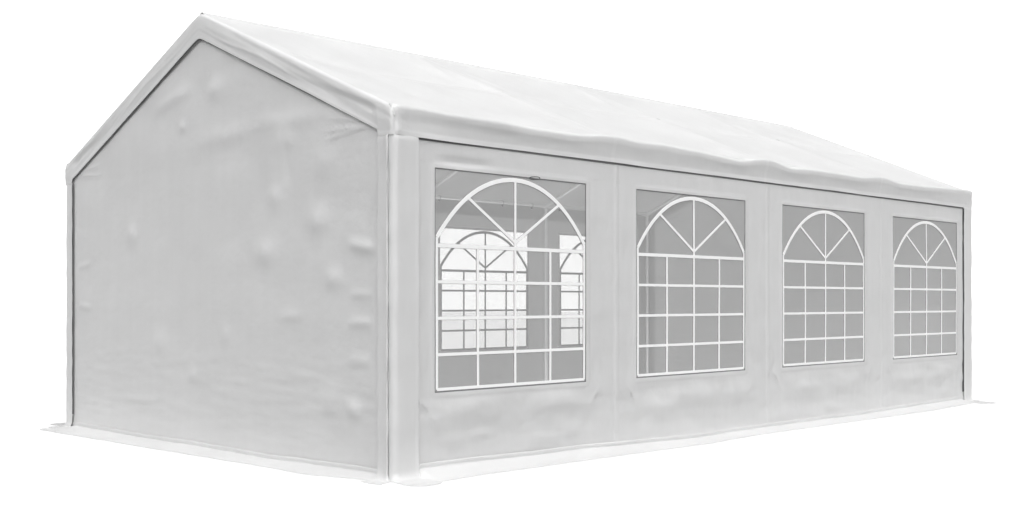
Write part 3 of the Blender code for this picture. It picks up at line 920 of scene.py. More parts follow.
class TENT_OT_gable_valances(bpy.types.Operator):
    """Makes the valance that rolls over the edge of the roof at each gable"""
    bl_idname = "tent.gable_valances"
    bl_label = "Gable valances"

    def execute(self, context):
        y = both_ways(graded(*GABLE_PLACES))[:, None]
        top, foot = roof_line(y), gable_foot(y)
        turns = np.linspace(0, pi / 2, 7)
        lap = [-GABLE_LAP - GABLE_ROLL, -GABLE_LAP / 2 - GABLE_ROLL]
        over = np.array(lap + [GABLE_ROLL * (sin(a) - 1) for a in turns])[None, :]
        under = np.array([0.0, 0.0] + [GABLE_ROLL * (1 - cos(a)) for a in turns])[None, :]
        share = np.concatenate([np.linspace(0, 0.86, 16)[1:], [0.885, 0.94, 1.0]])[None, :]
        start = top - GABLE_ROLL
        z = np.concatenate([top - under, start - share * (start - foot)], axis=1)
        over = np.concatenate([over + 0 * y, 0 * y + 0 * share], axis=1)
        down = np.maximum(top - z, 0)
        hangs = smooth_step(down, GABLE_ROLL * 0.4, GABLE_ROLL + 0.015)
        fall = np.clip(down / np.maximum(top - foot, 0.02), 0, 1)
        end = HALF_WIDTH - np.abs(y)
        curl = fall_back(end, GABLE_CORNER)
        along = run_length(np.concatenate([y, top], axis=1))[:, None]
        for side, sign in (("left", -1), ("right", 1)):
            relief = gable_valance_relief(y * -sign, down, fall, SEED[side])
            out = over + hangs * relief - curl * smooth_step(down, 0, 0.02)
            out = out + 0.004 * band(end, 0.02, 0.05, 0.03) * hangs * (1 - fall)
            uneven = 0.004 * hangs * fall * lattice_noise(y / 0.6, 0.5, SEED[side] + 9)
            height = z + 0.002 - 0.8 * curl * (1 - smooth_step(down, 0.01, 0.05)) + uneven
            points = stand(side, y, HALF_LENGTH + out, height)[:, ::-1]
            cut = pairs(along, np.maximum(start - z, 0) + out - out.min())[:, ::-1]
            sheet_piece(
                f"{side}_gable_valance_cloth", "cover_cloth", f"{side}_gable_valance", points, cut,
                cover_material(), held="hung", rests_on=["roof_cover_cloth"],
                welded=weld(fall, *GABLE_HEM)[:, ::-1])
        return {"FINISHED"}


# The corner strips

# A strip's line in plan, with the tent on the positive side of a corner at the origin: along the
# gable and through the recess, then the lobe round its middle, and the leg along the long side
CORNER_PATH = (
    (0.0, 0.140), (0.0, 0.120), (0.0, 0.100), (-0.001, 0.080), (-0.003, 0.065), (-0.006, 0.050),
    (-0.008, 0.042), (-0.003, 0.040), (0.006, 0.046), (0.013, 0.054))
LOBE_X, LOBE_Y = 0.046, 0.031
LOBE_RADIUS = 0.040
CORNER_LEG = ((0.075, -0.008), (0.09, -0.007), (0.12, -0.006), (0.16, -0.004), (0.21, -0.001))

# For distances along a strip's plan line, the place on the ground where its foot ends
STRIP_FEET = (
    (0.0, -0.140, 0.14), (0.045, -0.143, 0.03), (0.074, -0.143, -0.055), (0.112, -0.012, 0.0),
    (0.145, -0.012, -0.005), (0.172, -0.045, -0.16), (0.20, -0.02, -0.262), (0.245, 0.06, -0.29),
    (0.32, 0.16, -0.27), (0.40, 0.235, -0.20))

# Each corner's strip, and the signs of its place along and across the tent
CORNERS = (
    ("front_left", -1, -1), ("front_right", 1, -1), ("back_right", 1, 1), ("back_left", -1, 1))


def points_along(places, run, line):
    """Points at places along a line whose own points lie at the run's distances."""
    return np.stack([np.interp(places, run, line[:, axis]) for axis in (0, 1)], axis=1)


def soften(line):
    """Rounds the kinks of a line of points a little."""
    line[1:-1] = line[1:-1] / 2 + (line[:-2] + line[2:]) / 4


def corner_line():
    """The points of a corner strip in plan, and their distances along it."""
    turns = np.linspace(-0.75, 1.75, 15)
    lobe = [(LOBE_X - LOBE_RADIUS * cos(a), LOBE_Y - LOBE_RADIUS * sin(a)) for a in turns]
    line = np.array(CORNER_PATH + tuple(lobe) + CORNER_LEG)
    run = run_length(line)
    end = run[-1]
    places = graded(
        (0.0, 0), (0.05, 0.012), (0.28, 0.0045), (end - 0.032, 0.015), (end - 0.028, 1),
        (end, 0.014))
    line = points_along(places, run, line)
    soften(line)
    soften(line)
    return line, places


class TENT_OT_corner_strips(bpy.types.Operator):
    """Makes the strips folded round the four corners, down to their feet on the ground"""
    bl_idname = "tent.corner_strips"
    bl_label = "Corner strips"

    def execute(self, context):
        line, run = corner_line()
        tangent = np.gradient(line, axis=0)
        tangent = tangent / np.linalg.norm(tangent, axis=1, keepdims=True)
        outward = np.stack([tangent[:, 1], -tangent[:, 0]], axis=1)
        feet = np.array(STRIP_FEET)
        goal = points_along(run, feet[:, 0], feet[:, 1:])
        soften(goal)
        reach = np.linalg.norm(goal - line, axis=1)[:, None]
        direction = ((goal - line) / reach)[:, None, :]
        bend = np.minimum(0.05, 0.8 * reach)
        rest, top = 0.008, VALANCE_FOOT + 0.012
        turn = np.linspace(0, pi / 2, 9)[None, 1:]
        lying = np.linspace(0, 1, 9)[None, 1:]
        upright = top - np.linspace(0, 1, 84)[None, :] * (top - rest - bend)
        bent = (rest + bend * (1 - np.sin(turn)), bend * (1 - np.cos(turn)))
        height = np.concatenate([upright, bent[0], rest - 0.004 * lying + 0 * bend], axis=1)
        distance = np.concatenate([0 * upright, bent[1], bend + (reach - bend) * lying], axis=1)
        flat = smooth_step(height, 0.2, 0.02)
        covered = smooth_step(height, VALANCE_FOOT - 0.012, VALANCE_FOOT - 0.002)[..., None]
        inmost = 0.0028 * covered - 0.05 * (1 - covered)
        along = run[:, None]
        hem = weld(run[-1] - along, *STRIP_HEM)
        for number, (where, sign_x, sign_y) in enumerate(CORNERS):
            wobble = 0.004 * layered_noise(along / 0.2 + 3 * number, height / 0.5, 50 + number)
            wobble = wobble + 0.0025 * lattice_noise(along / 0.4, height / 0.13, 60 + number)
            wobble = wobble * smooth_step(height, 0.08, 0.3) + 0.001 * hem
            plan = line[:, None, :] + direction * distance[..., None]
            plan = plan + outward[:, None, :] * wobble[..., None]
            plan = np.where(covered > 0, np.maximum(plan, inmost), plan)
            in_x, in_y = plan[..., 0], plan[..., 1]
            bumps = np.abs(layered_noise(in_x / 0.1, in_y / 0.1, 70 + number, 2))
            z = height + 0.006 * flat * bumps * smooth_step(distance, 0.02, 0.08)
            x, y = sign_x * (HALF_LENGTH - in_x), sign_y * (HALF_WIDTH - in_y)
            points = np.stack([x, y, z], axis=-1)
            grids = (points, pairs(along, way_down(distance, height)), hem + 0 * height)
            points, cut, welded = (grid[::sign_x * sign_y, ::-1] for grid in grids)
            sheet_piece(
                f"{where}_corner_strip_cloth", "cover_cloth", f"{where}_corner_strip", points, cut,
                cover_material(), held="hung", rests_on=["roof_cover_cloth"], welded=welded)
        return {"FINISHED"}


# The cloth on the ground

# Along each side: how far out from the tent's middle the cloth on the ground ends, and how high its
# bend starts
FLAP_EDGE = {
    "front": (
        (-3.88, 2.47), (-3.6, 2.445), (-3.0, 2.45), (-2.4, 2.455), (-1.9, 2.47), (-1.4, 2.48),
        (-1.16, 2.50), (-0.8, 2.455), (-0.44, 2.425), (0.2, 2.43), (0.9, 2.44), (1.7, 2.455),
        (2.6, 2.465), (3.2, 2.425), (3.87, 2.37)),
    "left": (
        (-1.74, 4.348), (-1.34, 4.346), (-0.98, 4.337), (-0.31, 4.319), (0.28, 4.296),
        (0.82, 4.275), (1.33, 4.260), (1.6, 4.282), (1.78, 4.236), (1.94, 4.19), (2.1, 4.15)),
    "back": (
        (-3.87, 2.48), (-2.4, 2.54), (-0.6, 2.56), (1.2, 2.55), (2.7, 2.56), (3.87, 2.50)),
    "right": (
        (-2.1, 4.20), (-1.0, 4.28), (0.2, 4.34), (1.2, 4.36), (2.1, 4.33)),
}
FLAP_BEND = (
    (-3.9, 0.058), (-3.59, 0.057), (-3.15, 0.053), (-2.56, 0.046), (-1.68, 0.034), (-0.92, 0.018),
    (-0.07, 0.025), (1.63, 0.019), (3.3, 0.041), (3.9, 0.045))

# The part of a flap that hangs on its wall: how high above the bend and how far out each row stands
FLAP_RISES = (0.032, 0.029, 0.022, 0.014, 0.009, 0.006, 0.003)
FLAP_STANDS = (0.003, 0.006, 0.004, 0.002, 0.0, -0.002, 0.0)

# A flap's hem as parts of its width, the radius of its corners, its height at the edge, how far it
# stands off its wall and how far it goes on under the corner strips
FLAP_HEM = (0.875, 1.2, 0.012)
FLAP_CORNER = 0.05
FLAP_REST = 0.004
FLAP_GAP = 0.006
FLAP_UNDER_STRIP = 0.05


class TENT_OT_ground_flaps(bpy.types.Operator):
    """Makes the cloth that turns out along the ground on all four sides"""
    bl_idname = "tent.ground_flaps"
    bl_label = "Ground flaps"

    def execute(self, context):
        cloths = context.scene.tent_cloth
        rises, stands = np.array(FLAP_RISES)[None, :], np.array(FLAP_STANDS)[None, :]
        share = np.concatenate([np.linspace(0, 0.86, 15), [0.875, 0.89, 0.94, 1.0]])[None, :]
        material = cloth_material("Ground flap cloth", cloths.flap_colour, 0.5, cloths.roof_glow)
        for side in SIDES:
            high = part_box(f"{side}_ground_flap")[1]
            if side in ("front", "back"):
                half, face, bend_share, wall = high.x, WALL_FACE, 1.0, f"{side}_wall_cloth"
            else:
                half, face, bend_share, wall = high.y, GABLE_FACE, 0.8, f"{side}_gable_wall_cloth"
            half, face, seed = half + FLAP_UNDER_STRIP, face + FLAP_GAP, SEED[side]
            along = graded((0.0, 0), (half - 0.04, 0.03), (half - 0.012, 0.009), (half, 0.003))
            along = both_ways(along)[:, None]
            end = half - np.abs(along)
            bend = along_line(FLAP_BEND, along if side == "front" else -along, 0.1) * bend_share
            bend = bend * (0.12 + 0.88 * smooth_step(end, 0.02, 0.08))
            reach = along_line(FLAP_EDGE[side], along, 0.04) - face
            reach = reach + 0.006 * lattice_noise(along / 0.7, 0.5, seed + 2)
            reach = reach - fall_back(end, FLAP_CORNER)
            out = np.concatenate([stands + 0 * along, share * reach], axis=1)
            lower = FLAP_REST + (bend - FLAP_REST) * (1 - share) ** 1.9
            z = np.concatenate([bend + rises, lower], axis=1)
            lying = np.concatenate([0 * rises, share], axis=1) + 0 * along
            hem = band(lying, *FLAP_HEM)
            swell = layered_noise(along / 0.3, out / 0.16 + 3, seed + 5, 2)
            waves = lattice_noise(along / 0.5 + out / 0.2, out / 0.3, seed + 7)
            z = z + smooth_step(lying, 0.0, 0.3) * (0.005 * np.abs(swell) + 0.004 * np.abs(waves))
            z = z + 0.0014 * hem + 0.005 * lattice_noise(along / 0.5, 0.5, seed + 6) * (lying == 0)
            out = out + 0.002 * layered_noise(along / 0.4, z / 0.05, seed + 8, 2) * (lying == 0)
            points = stand(side, along, face + out, z)[:, ::-1]
            sheet_piece(
                f"{side}_ground_flap_cloth", "cover_cloth", f"{side}_ground_flap", points,
                pairs(along, way_down(out, z))[:, ::-1], material, held="laid", rests_on=[wall],
                welded=hem[:, ::-1])
        return {"FINISHED"}


# The long walls

# The welded rims round the windows reach this far from the openings, and ease off over the next
# step
RIM = 0.028
EASE = 0.004

# How far past the posts the seams of a long wall stand
SEAM_SHIFT = 0.05

# Pads and dimples under the front windows: place along the wall, height, reach along, reach up and
# depth
WALL_DENTS = (
    (-3.46, 0.385, 0.28, 0.075, 0.011), (-2.60, 0.395, 0.26, 0.07, 0.011),
    (-3.59, 0.20, 0.10, 0.045, 0.006), (-3.33, 0.23, 0.09, 0.045, 0.006),
    (-2.81, 0.16, 0.12, 0.045, 0.006), (-2.46, 0.19, 0.10, 0.045, 0.006),
    (-1.46, 0.27, 0.12, 0.07, 0.008), (-1.29, 0.31, 0.10, 0.07, 0.006),
    (-0.92, 0.35, 0.20, 0.09, 0.010), (-0.37, 0.35, 0.20, 0.09, 0.009),
    (0.65, 0.33, 0.25, 0.09, 0.010), (1.08, 0.13, 0.12, 0.05, 0.006),
    (1.35, 0.33, 0.22, 0.09, 0.008), (2.60, 0.33, 0.28, 0.10, 0.009),
    (3.42, 0.14, 0.12, 0.05, 0.006), (3.35, 0.34, 0.25, 0.09, 0.008),
    (-0.11, 0.56, 0.06, 0.05, -0.008), (0.16, 0.54, 0.06, 0.05, -0.007),
    (2.11, 0.57, 0.07, 0.05, -0.008), (-0.04, 0.17, 0.08, 0.05, -0.006),
    (-2.0, 0.06, 0.06, 0.04, -0.005))
PAD_STRENGTH = 2.5


def wall_sway(side, x, z):
    """The broad shape of a long wall, which its films follow: it bellies between the posts."""
    part = np.clip(z / WALL_TOP, 0, 1)
    belly = np.sin(pi * bay_part(x)) ** 2 * np.sin(pi * part) ** 0.6
    gentle = layered_noise(x / 1.1 + SEED[side], z / 0.8, SEED[side] + 1, 2)
    edge = smooth_step(z, 0.0, 0.3) * smooth_step(z, WALL_TOP + 0.01, WALL_TOP - 0.25)
    return bpy.context.scene.tent_cloth.billow * belly + 0.0025 * gentle * edge + 0.001


def window_distance(x, z):
    """Distance outside the nearest window opening, or 0 inside one."""
    beside = [np.maximum(np.abs(x - centre) - HALF_WINDOW, 0) for centre in WINDOW_X]
    return np.hypot(np.min(beside, axis=0), np.maximum(np.maximum(SILL - z, z - HEAD), 0))


def wall_welds(x, z):
    """The welded bands of a long wall: rims round the windows, bay seams and the foot's hem."""
    cloths = bpy.context.scene.tent_cloth
    seams = sum(weld(x, place + SEAM_SHIFT, cloths.weld_width) for place in INNER_POST_X)
    return seams + weld(window_distance(x, z), 0.0, 2 * RIM) + weld(z, *WALL_HEM) + 0 * x


def wall_relief(side, x, z):
    """Pads, creases, welds and hems of a long wall, over its broad shape."""
    seed = SEED[side]
    along = x if side == "front" else -x
    foot = smooth_step(z, 0.02, 0.12)
    free = smooth_step(window_distance(x, z), 0.03, 0.14) * foot
    under = band(z, 0.12, SILL - 0.1, 0.1)
    packing = packing_lines(x + 0.17, 0.333, seed) + packing_lines(z - 0.1, 0.62, seed + 1)
    crumple = bpy.context.scene.tent_cloth.crumple * 0.7
    relief = (
        under * crumple * (creases(x / 0.55, z / 0.2 + 3, seed + 3) - 0.5)
        + under * 0.004 * lattice_noise(x / 0.4 + z / 0.3, z / 0.07, seed + 4)
        + free * 0.003 * layered_noise(x / 0.11, z / 0.4, seed + 5, 2)
        + free * 0.0035 * layered_noise(x / 0.3, z / 0.22, seed + 6, 2)
        + free * 0.0018 * packing)
    for *place, height in WALL_DENTS:
        strength = PAD_STRENGTH if height > 0 else 1
        relief = relief + dent(along, z, *place, strength * height) * foot
    for centre in WINDOW_X:
        for sign in (-1, 1):
            at_x = centre + sign * (HALF_WINDOW + 0.09)
            relief = relief + dent(x, z, at_x, SILL + 0.1, 0.03, 0.07, -0.005)
            at_x = at_x - sign * 0.02
            relief = relief + fold(x, z, at_x, SILL - 0.11, sign * 0.9, 0.22, 0.022, 0.006)
    relief = relief + fold(along, z, -3.47, 1.985, 0.0, 0.42, 0.022, -0.016)
    relief = relief * smooth_step(z, VALANCE_FOOT - 0.01, VALANCE_FOOT - 0.12)
    return relief + 0.0014 * wall_welds(along, z)


def wall_out(side, x, z):
    """How far out from the tent's middle the face of a long wall stands."""
    return WALL_FACE + wall_sway(side, x, z) + wall_relief(side, x, z)


class TENT_OT_long_walls(bpy.types.Operator):
    """Makes both long walls, each one cloth with four window openings"""
    bl_idname = "tent.long_walls"
    bl_label = "Long walls"

    def execute(self, context):
        cloths = context.scene.tent_cloth
        step, half_weld = cloths.grid_step, cloths.weld_width / 2
        breaks = [-WALL_END, WALL_END]
        for sign in (-1, 1):
            for away in (0.0, RIM, RIM + EASE):
                breaks += [centre + sign * (HALF_WINDOW + away) for centre in WINDOW_X]
            for away in (half_weld, half_weld + EASE):
                breaks += [place + SEAM_SHIFT + sign * away for place in INNER_POST_X]
        x = graded(*[(place, step) for place in sorted(breaks)])
        hem = WALL_HEM[0] + WALL_HEM[1] / 2
        levels = (
            hem, hem + EASE, SILL - RIM - EASE, SILL - RIM, SILL,
            HEAD, HEAD + RIM, HEAD + RIM + EASE, WALL_TOP)
        z = graded((WALL_FOOT, 0), *[(level, step) for level in levels])
        middle_x, middle_z = (x[1:] + x[:-1])[:, None] / 2, (z[1:] + z[:-1])[None, :] / 2
        inside = window_distance(middle_x, middle_z) == 0
        width, height = 2 * WALL_END, WALL_TOP - WALL_FOOT
        area = width * height - len(WINDOW_X) * 2 * HALF_WINDOW * (HEAD - SILL)
        x, z = np.broadcast_arrays(x[:, None], z[None, :])
        for side, sign in LONG_SIDES:
            points = stand(side, x, wall_out(side, sign * x, z), z)
            sheet_piece(
                f"{side}_wall_cloth", "wall_cloth", f"{side}_wall", points, pairs(x, z),
                wall_material(), held="hung", rests_on=[f"{side}_eave_rail"],
                flat=(width, height), area=area, missing=inside, welded=wall_welds(x, z))
        return {"FINISHED"}


# The gable walls

# Pads of the gable walls: place across, height, reach across, reach up and depth
GABLE_DENTS = (
    (1.08, 1.63, 0.09, 0.08, 0.010), (-0.19, 2.64, 0.12, 0.08, 0.009),
    (-1.06, 2.19, 0.10, 0.09, 0.009), (-0.95, 1.81, 0.10, 0.09, 0.009),
    (-1.45, 1.63, 0.12, 0.09, 0.012), (-0.83, 1.43, 0.12, 0.09, 0.012),
    (-1.63, 1.24, 0.09, 0.07, 0.010), (-1.51, 2.00, 0.12, 0.10, 0.006),
    (0.61, 0.79, 0.10, 0.08, 0.008), (-0.33, 0.85, 0.06, 0.07, 0.006),
    (-1.15, 1.00, 0.12, 0.04, 0.006), (0.12, 0.54, 0.07, 0.05, 0.008),
    (-1.59, 0.43, 0.10, 0.07, 0.009), (-1.81, 0.43, 0.07, 0.05, 0.006),
    (0.28, 2.41, 0.05, 0.04, 0.006), (-1.86, 0.40, 0.06, 0.05, 0.010))

# Folds of the gable walls: place across, height, angle, length, width and depth
GABLE_FOLDS = (
    (0.44, 2.63, -0.185, 0.55, 0.05, 0.008), (-0.32, 2.29, -0.05, 0.70, 0.07, 0.008),
    (-1.10, 2.32, 0.02, 0.80, 0.06, 0.007), (-1.10, 2.05, 1.40, 0.35, 0.04, -0.006),
    (0.93, 0.31, 0.0, 0.50, 0.025, 0.006), (-1.93, 1.44, 0.15, 0.26, 0.035, 0.012),
    (-1.91, 1.14, 0.0, 0.20, 0.03, 0.007), (-1.91, 0.96, 0.0, 0.22, 0.03, 0.008),
    (-1.91, 0.72, 0.0, 0.20, 0.04, 0.006), (-1.88, 2.27, 0.245, 0.40, 0.012, 0.006),
    (-1.83, 2.247, 0.15, 0.50, 0.012, 0.006), (-1.81, 2.198, 0.0, 0.50, 0.012, 0.006),
    (-1.81, 2.173, -0.1, 0.50, 0.012, 0.006), (1.93, 1.40, -0.12, 0.22, 0.022, 0.006),
    (1.92, 1.05, 0.1, 0.22, 0.022, 0.006), (1.86, 2.21, -0.1, 0.45, 0.012, 0.005),
    (1.86, 2.16, 0.06, 0.45, 0.012, 0.005))

# How much stronger than their tables the pads and the folds stand, and how soft the top of the wall
# is
GABLE_PAD_STRENGTH = 1.8
GABLE_FOLD_STRENGTH = 1.4
GABLE_TOP_SOFTNESS = 0.02


def gable_relief(side, y, z, top):
    """Pads, folds, welds and hems of a gable wall. y is the place across, as on the left gable."""
    seed = SEED[side]
    relief = (
        0.006 * layered_noise(y / 1.3 + seed, z / 1.1, seed + 1, 2)
        + 0.003 * layered_noise(y / 0.34, z / 0.26, seed + 2, 1)
        + 0.0007 * layered_noise(y / 0.09, z / 0.06, seed + 5, 2)
        + 0.006 * (creases(y / 0.6, z / 0.42, seed + 3, 1) - 0.3)
        + band(z, 0.2, 0.6, 0.15) * 0.003 * layered_noise(y / 0.5, z / 0.05, seed + 4, 2)
        + 0.0018 * packing_lines(y + 0.1, 0.41, seed) + 0.0012 * packing_lines(z, 0.7, seed + 1))
    for *place, height in GABLE_DENTS:
        relief = relief + dent(y, z, *place, GABLE_PAD_STRENGTH * height)
    for *place, height in GABLE_FOLDS:
        relief = relief + fold(y, z, *place, GABLE_FOLD_STRENGTH * height)
    edge = np.minimum(GABLE_HIGH.y - np.abs(y), (top - z) * SLOPE_COS)
    return relief * smooth_step(edge, 0.08, 0.24) * smooth_step(z, 0.0, 0.1)


class TENT_OT_gable_walls(bpy.types.Operator):
    """Makes both gable walls, each one plain cloth up to the slopes of the roof"""
    bl_idname = "tent.gable_walls"
    bl_label = "Gable walls"

    def execute(self, context):
        half, foot, peak = GABLE_HIGH.y, GABLE_LOW.z, GABLE_HIGH.z
        y = both_ways(graded((0.0, 0), (1.65, 0.027), (2.12, 0.015), (half, 0.03)))[:, None]
        top = slope_line(y, GABLE_TOP_SOFTNESS) + peak - RIDGE
        share = graded((0.0, 0), (0.018, 0.01), (1.0, 0.0078))[None, :]
        z = foot + share * (top - foot)
        hem = weld(z, *WALL_HEM)
        for side, post in (("left", 1), ("right", 5)):
            relief = gable_relief(side, -y, z, top) + 0.001 * hem
            points = stand(side, y, GABLE_FACE + relief, z)
            sheet_piece(
                f"{side}_gable_wall_cloth", "wall_cloth", f"{side}_gable_wall", points, pairs(y, z),
                wall_material(), held="hung",
                rests_on=[f"front_rafter_{post}", f"back_rafter_{post}"],
                flat=(2 * half, peak - foot), area=surface(points), welded=hem)
        return {"FINISHED"}


# The windows

# The films: how far they lap behind the wall, how far back they lie, their thickness and their mesh
# step
FILM_LAP = 0.016
FILM_BEHIND = 0.0034
FILM_THICKNESS = 0.0008
FILM_STEP = 0.05

# Where a fan's spoke ends, from the window's middle line and above the ground
SPOKE_END = (0.43, 1.763)

# The dark edge line, painted shade where a film meets its wall: its width and how far it lies
# inside the opening
EDGE_SHADE_WIDTH = 0.0095
EDGE_SHADE_INSET = 0.003

# The width that the rounding of a strip's edges is meant for
USUAL_STRIP = 0.022

# The small loop on the first window: its middle, half its length, half its height, its lean, and
# its cord's width, thickness and mesh step
LOOP_X, LOOP_Z = -2.815, 1.934
LOOP_REACH = 0.055
LOOP_RISE = 0.009
LOOP_LEAN = 0.004
LOOP_CORD = 0.005
LOOP_THICKNESS = 0.003
LOOP_STEP = 0.012


@kept("materials", "Window film")
def film_material(name):
    """Clear film with faint smears and long ripples."""
    settings = bpy.context.scene.tent_window
    material, tree, shader = new_material(name)
    place = object_place(tree)
    smear = noise_node(tree, place, 3.0, 4.0)
    ripple = stretched_noise(tree, place, (2.0, 2.0, 7.0), 2.0)
    feed(shader, {
        "Base Color": shaded(tree, smear, settings.film_colour, 0.94, 1.06),
        "Roughness": map_range(tree, smear, 0.3, 0.7, 0.08, 0.16),
        "Normal": bump_node(tree, 0.4, 0.004, ripple),
        "Alpha": settings.film_haze, "IOR": 1.45})
    return material


class TENT_OT_window_films(bpy.types.Operator):
    """Makes the eight clear films, which follow the sway of their walls"""
    bl_idname = "tent.window_films"
    bl_label = "Window films"

    def execute(self, context):
        reach = HALF_WINDOW + FILM_LAP
        z = graded((SILL - FILM_LAP, 0), (HEAD + FILM_LAP, FILM_STEP))[None, :]
        for side, sign in LONG_SIDES:
            for number, centre in enumerate(WINDOW_X, start=1):
                x = graded((centre - reach, 0), (centre + reach, FILM_STEP))[:, None]
                out = WALL_FACE - FILM_BEHIND + wall_sway(side, x, z)
                points = stand(side, sign * x, out, z)[::sign]
                name, cut = f"{side}_window_film_{number}", pairs(x, z)[::sign]
                obj = cloth(name, points, cut, FILM_THICKNESS, film_material())
                finish_piece(obj, f"{side}_window_{number}")
        return {"FINISHED"}


def arch_height(settings, x):
    """Height of the arch over a place across a window."""
    return settings.arch_top - 0.68 * x ** 2 - 0.32 * x ** 4


def bar_lines(settings, wider=0.0):
    """Each glazing strip of one window as its points, its width and its step off the film."""
    side = HALF_WINDOW - settings.border_inset
    bottom, transom = SILL + settings.border_inset, settings.transom
    thin = settings.bar_width + wider
    arch = [(x, arch_height(settings, x)) for x in np.linspace(-side, side, 41)]

    def level(z, width, rise):
        return [(-side, z), (side, z)], width, rise

    def upright(x, top, width, rise):
        return [(x, bottom), (x, top)], width, rise

    lines = [upright(sign * side, arch_height(settings, side), thin, 0.6) for sign in (-1, 1)]
    lines += [level(bottom, thin, 0.7), level(transom, settings.transom_width + wider, 0.9)]
    lines += [upright(0.0, settings.arch_top, thin, 0.3), (arch, settings.arch_width + wider, 1.0)]
    for sign in (-1, 1):
        lines.append(upright(sign * settings.column_pitch, transom, thin, 0.3))
        lines.append(([(0.0, settings.hub), (sign * SPOKE_END[0], SPOKE_END[1])], thin, 0.4))
    return lines + [level(transom - number * settings.row_pitch, thin, 0.5) for number in (1, 2, 3)]


def edge_lines():
    """The dark lines along a window's edges, painted shade where the film meets the wall."""
    side, low, high = HALF_WINDOW - EDGE_SHADE_INSET, SILL + EDGE_SHADE_INSET, HEAD - EDGE_SHADE_INSET
    corners = [(-side, low), (side, low), (side, high), (-side, high), (-side, low)]
    return [(corners[i:i + 2], EDGE_SHADE_WIDTH, 0.5) for i in range(4)]


def loop_line():
    """The cord of the small loop, as a flat ring that leans a little."""
    turns = np.linspace(0, 2 * pi, 33)
    ring = [
        (LOOP_X + LOOP_REACH * cos(a), LOOP_Z + LOOP_RISE * sin(a) + LOOP_LEAN * cos(a))
        for a in turns]
    return [(ring, LOOP_CORD, 0.5)]


# Geometry trees

def finish_tree(result, points, instance, rotation, material):
    """Stands a shape at every point, and ends the tree in real, painted faces."""
    tree = result.id_data
    placed = {"Points": points, "Instance": instance, "Rotation": rotation}
    placed = result_of(tree, "GeometryNodeInstanceOnPoints", placed)
    solid = result_of(tree, "GeometryNodeRealizeInstances", {0: placed})
    feed(result, {0: result_of(tree, "GeometryNodeSetMaterial", {0: solid, "Material": material})})
    return tree


def combine(tree, x=0.0, y=0.0, z=0.0):
    return result_of(tree, "ShaderNodeCombineXYZ", {0: x, 1: y, 2: z})


def named_value(tree, name, kind="FLOAT"):
    return result_of(tree, "GeometryNodeInputNamedAttribute", {"Name": name}, data_type=kind)


def moved(tree, shape, offset):
    return result_of(tree, "GeometryNodeTransform", {0: shape, "Translation": offset})


def joined(tree, *parts):
    node = add_node(tree, "GeometryNodeJoinGeometry")
    for part in parts:
        tree.links.new(part, node.inputs[0])
    return node.outputs[0]


@kept("node_groups", "Window strips")
def strip_tree(name):
    """Strips along lines, repeated at each window of a wall."""
    inputs = {
        "Lines": ("Geometry", None), "Windows": ("Int", 4), "First window": ("Float", -3.0),
        "Window pitch": ("Float", 2.0), "Thickness": ("Float", 0.0016), "Step": ("Float", 0.06),
        "Material": ("Material", None)}
    tree, given, result = new_tree("GeometryNodeTree", name, inputs, {"Strips": "Geometry"})
    curve = result_of(tree, "GeometryNodeMeshToCurve", {0: given["Lines"]})
    evenly = {"Curve": curve, "Length": given["Step"]}
    curve = result_of(tree, "GeometryNodeResampleCurve", evenly, mode="LENGTH")
    curve = result_of(tree, "GeometryNodeSetCurveNormal", {0: curve}, mode="Z_UP")
    move = combine(tree, z=times(tree, named_value(tree, "rise"), given["Thickness"]))
    curve = result_of(tree, "GeometryNodeSetPosition", {0: curve, "Offset": move})
    thick = calculate(tree, "DIVIDE", given["Thickness"], USUAL_STRIP)
    shape = {"Width": 1.0, "Height": thick}
    shape = result_of(tree, "GeometryNodeCurvePrimitiveQuadrilateral", shape)
    rounding = {0: shape, "Radius": times(tree, thick, 0.35), "Count": 1}
    profile = result_of(tree, "GeometryNodeFilletCurve", rounding, mode="POLY")
    swept = result_of(tree, "GeometryNodeCurveToMesh", {
        "Curve": curve, "Profile Curve": profile, "Scale": named_value(tree, "width"),
        "Fill Caps": True})
    row = result_of(tree, "GeometryNodeMeshLine", {
        "Count": given["Windows"], "Start Location": combine(tree, given["First window"]),
        "Offset": combine(tree, given["Window pitch"])}, mode="OFFSET")
    return finish_tree(result, row, swept, (pi / 2, 0.0, 0.0), given["Material"])


@kept("node_groups", "Frame bolts")
def bolt_tree(name):
    """A hexagon bolt head on a washer at every point, turned to the point's direction."""
    inputs = {
        "Places": ("Geometry", None), "Width": ("Float", 0.015), "Material": ("Material", None)}
    tree, given, result = new_tree("GeometryNodeTree", name, inputs, {"Bolts": "Geometry"})
    width, shapes = given["Width"], []
    for corners, radius, depth in ((16, 0.72, 0.12), (6, 0.5, 0.45)):
        sizes = {"Radius": times(tree, width, radius), "Depth": times(tree, width, depth)}
        shapes.append(result_of(tree, "GeometryNodeMeshCylinder", {"Vertices": corners, **sizes}))
    washer, head = shapes
    bolt = joined(tree, washer, moved(tree, head, combine(tree, z=times(tree, width, 0.3))))
    direction = {"Vector": named_value(tree, "direction", "FLOAT_VECTOR")}
    turned = result_of(tree, "FunctionNodeAlignRotationToVector", direction, axis="Z")
    return finish_tree(result, given["Places"], bolt, turned, given["Material"])


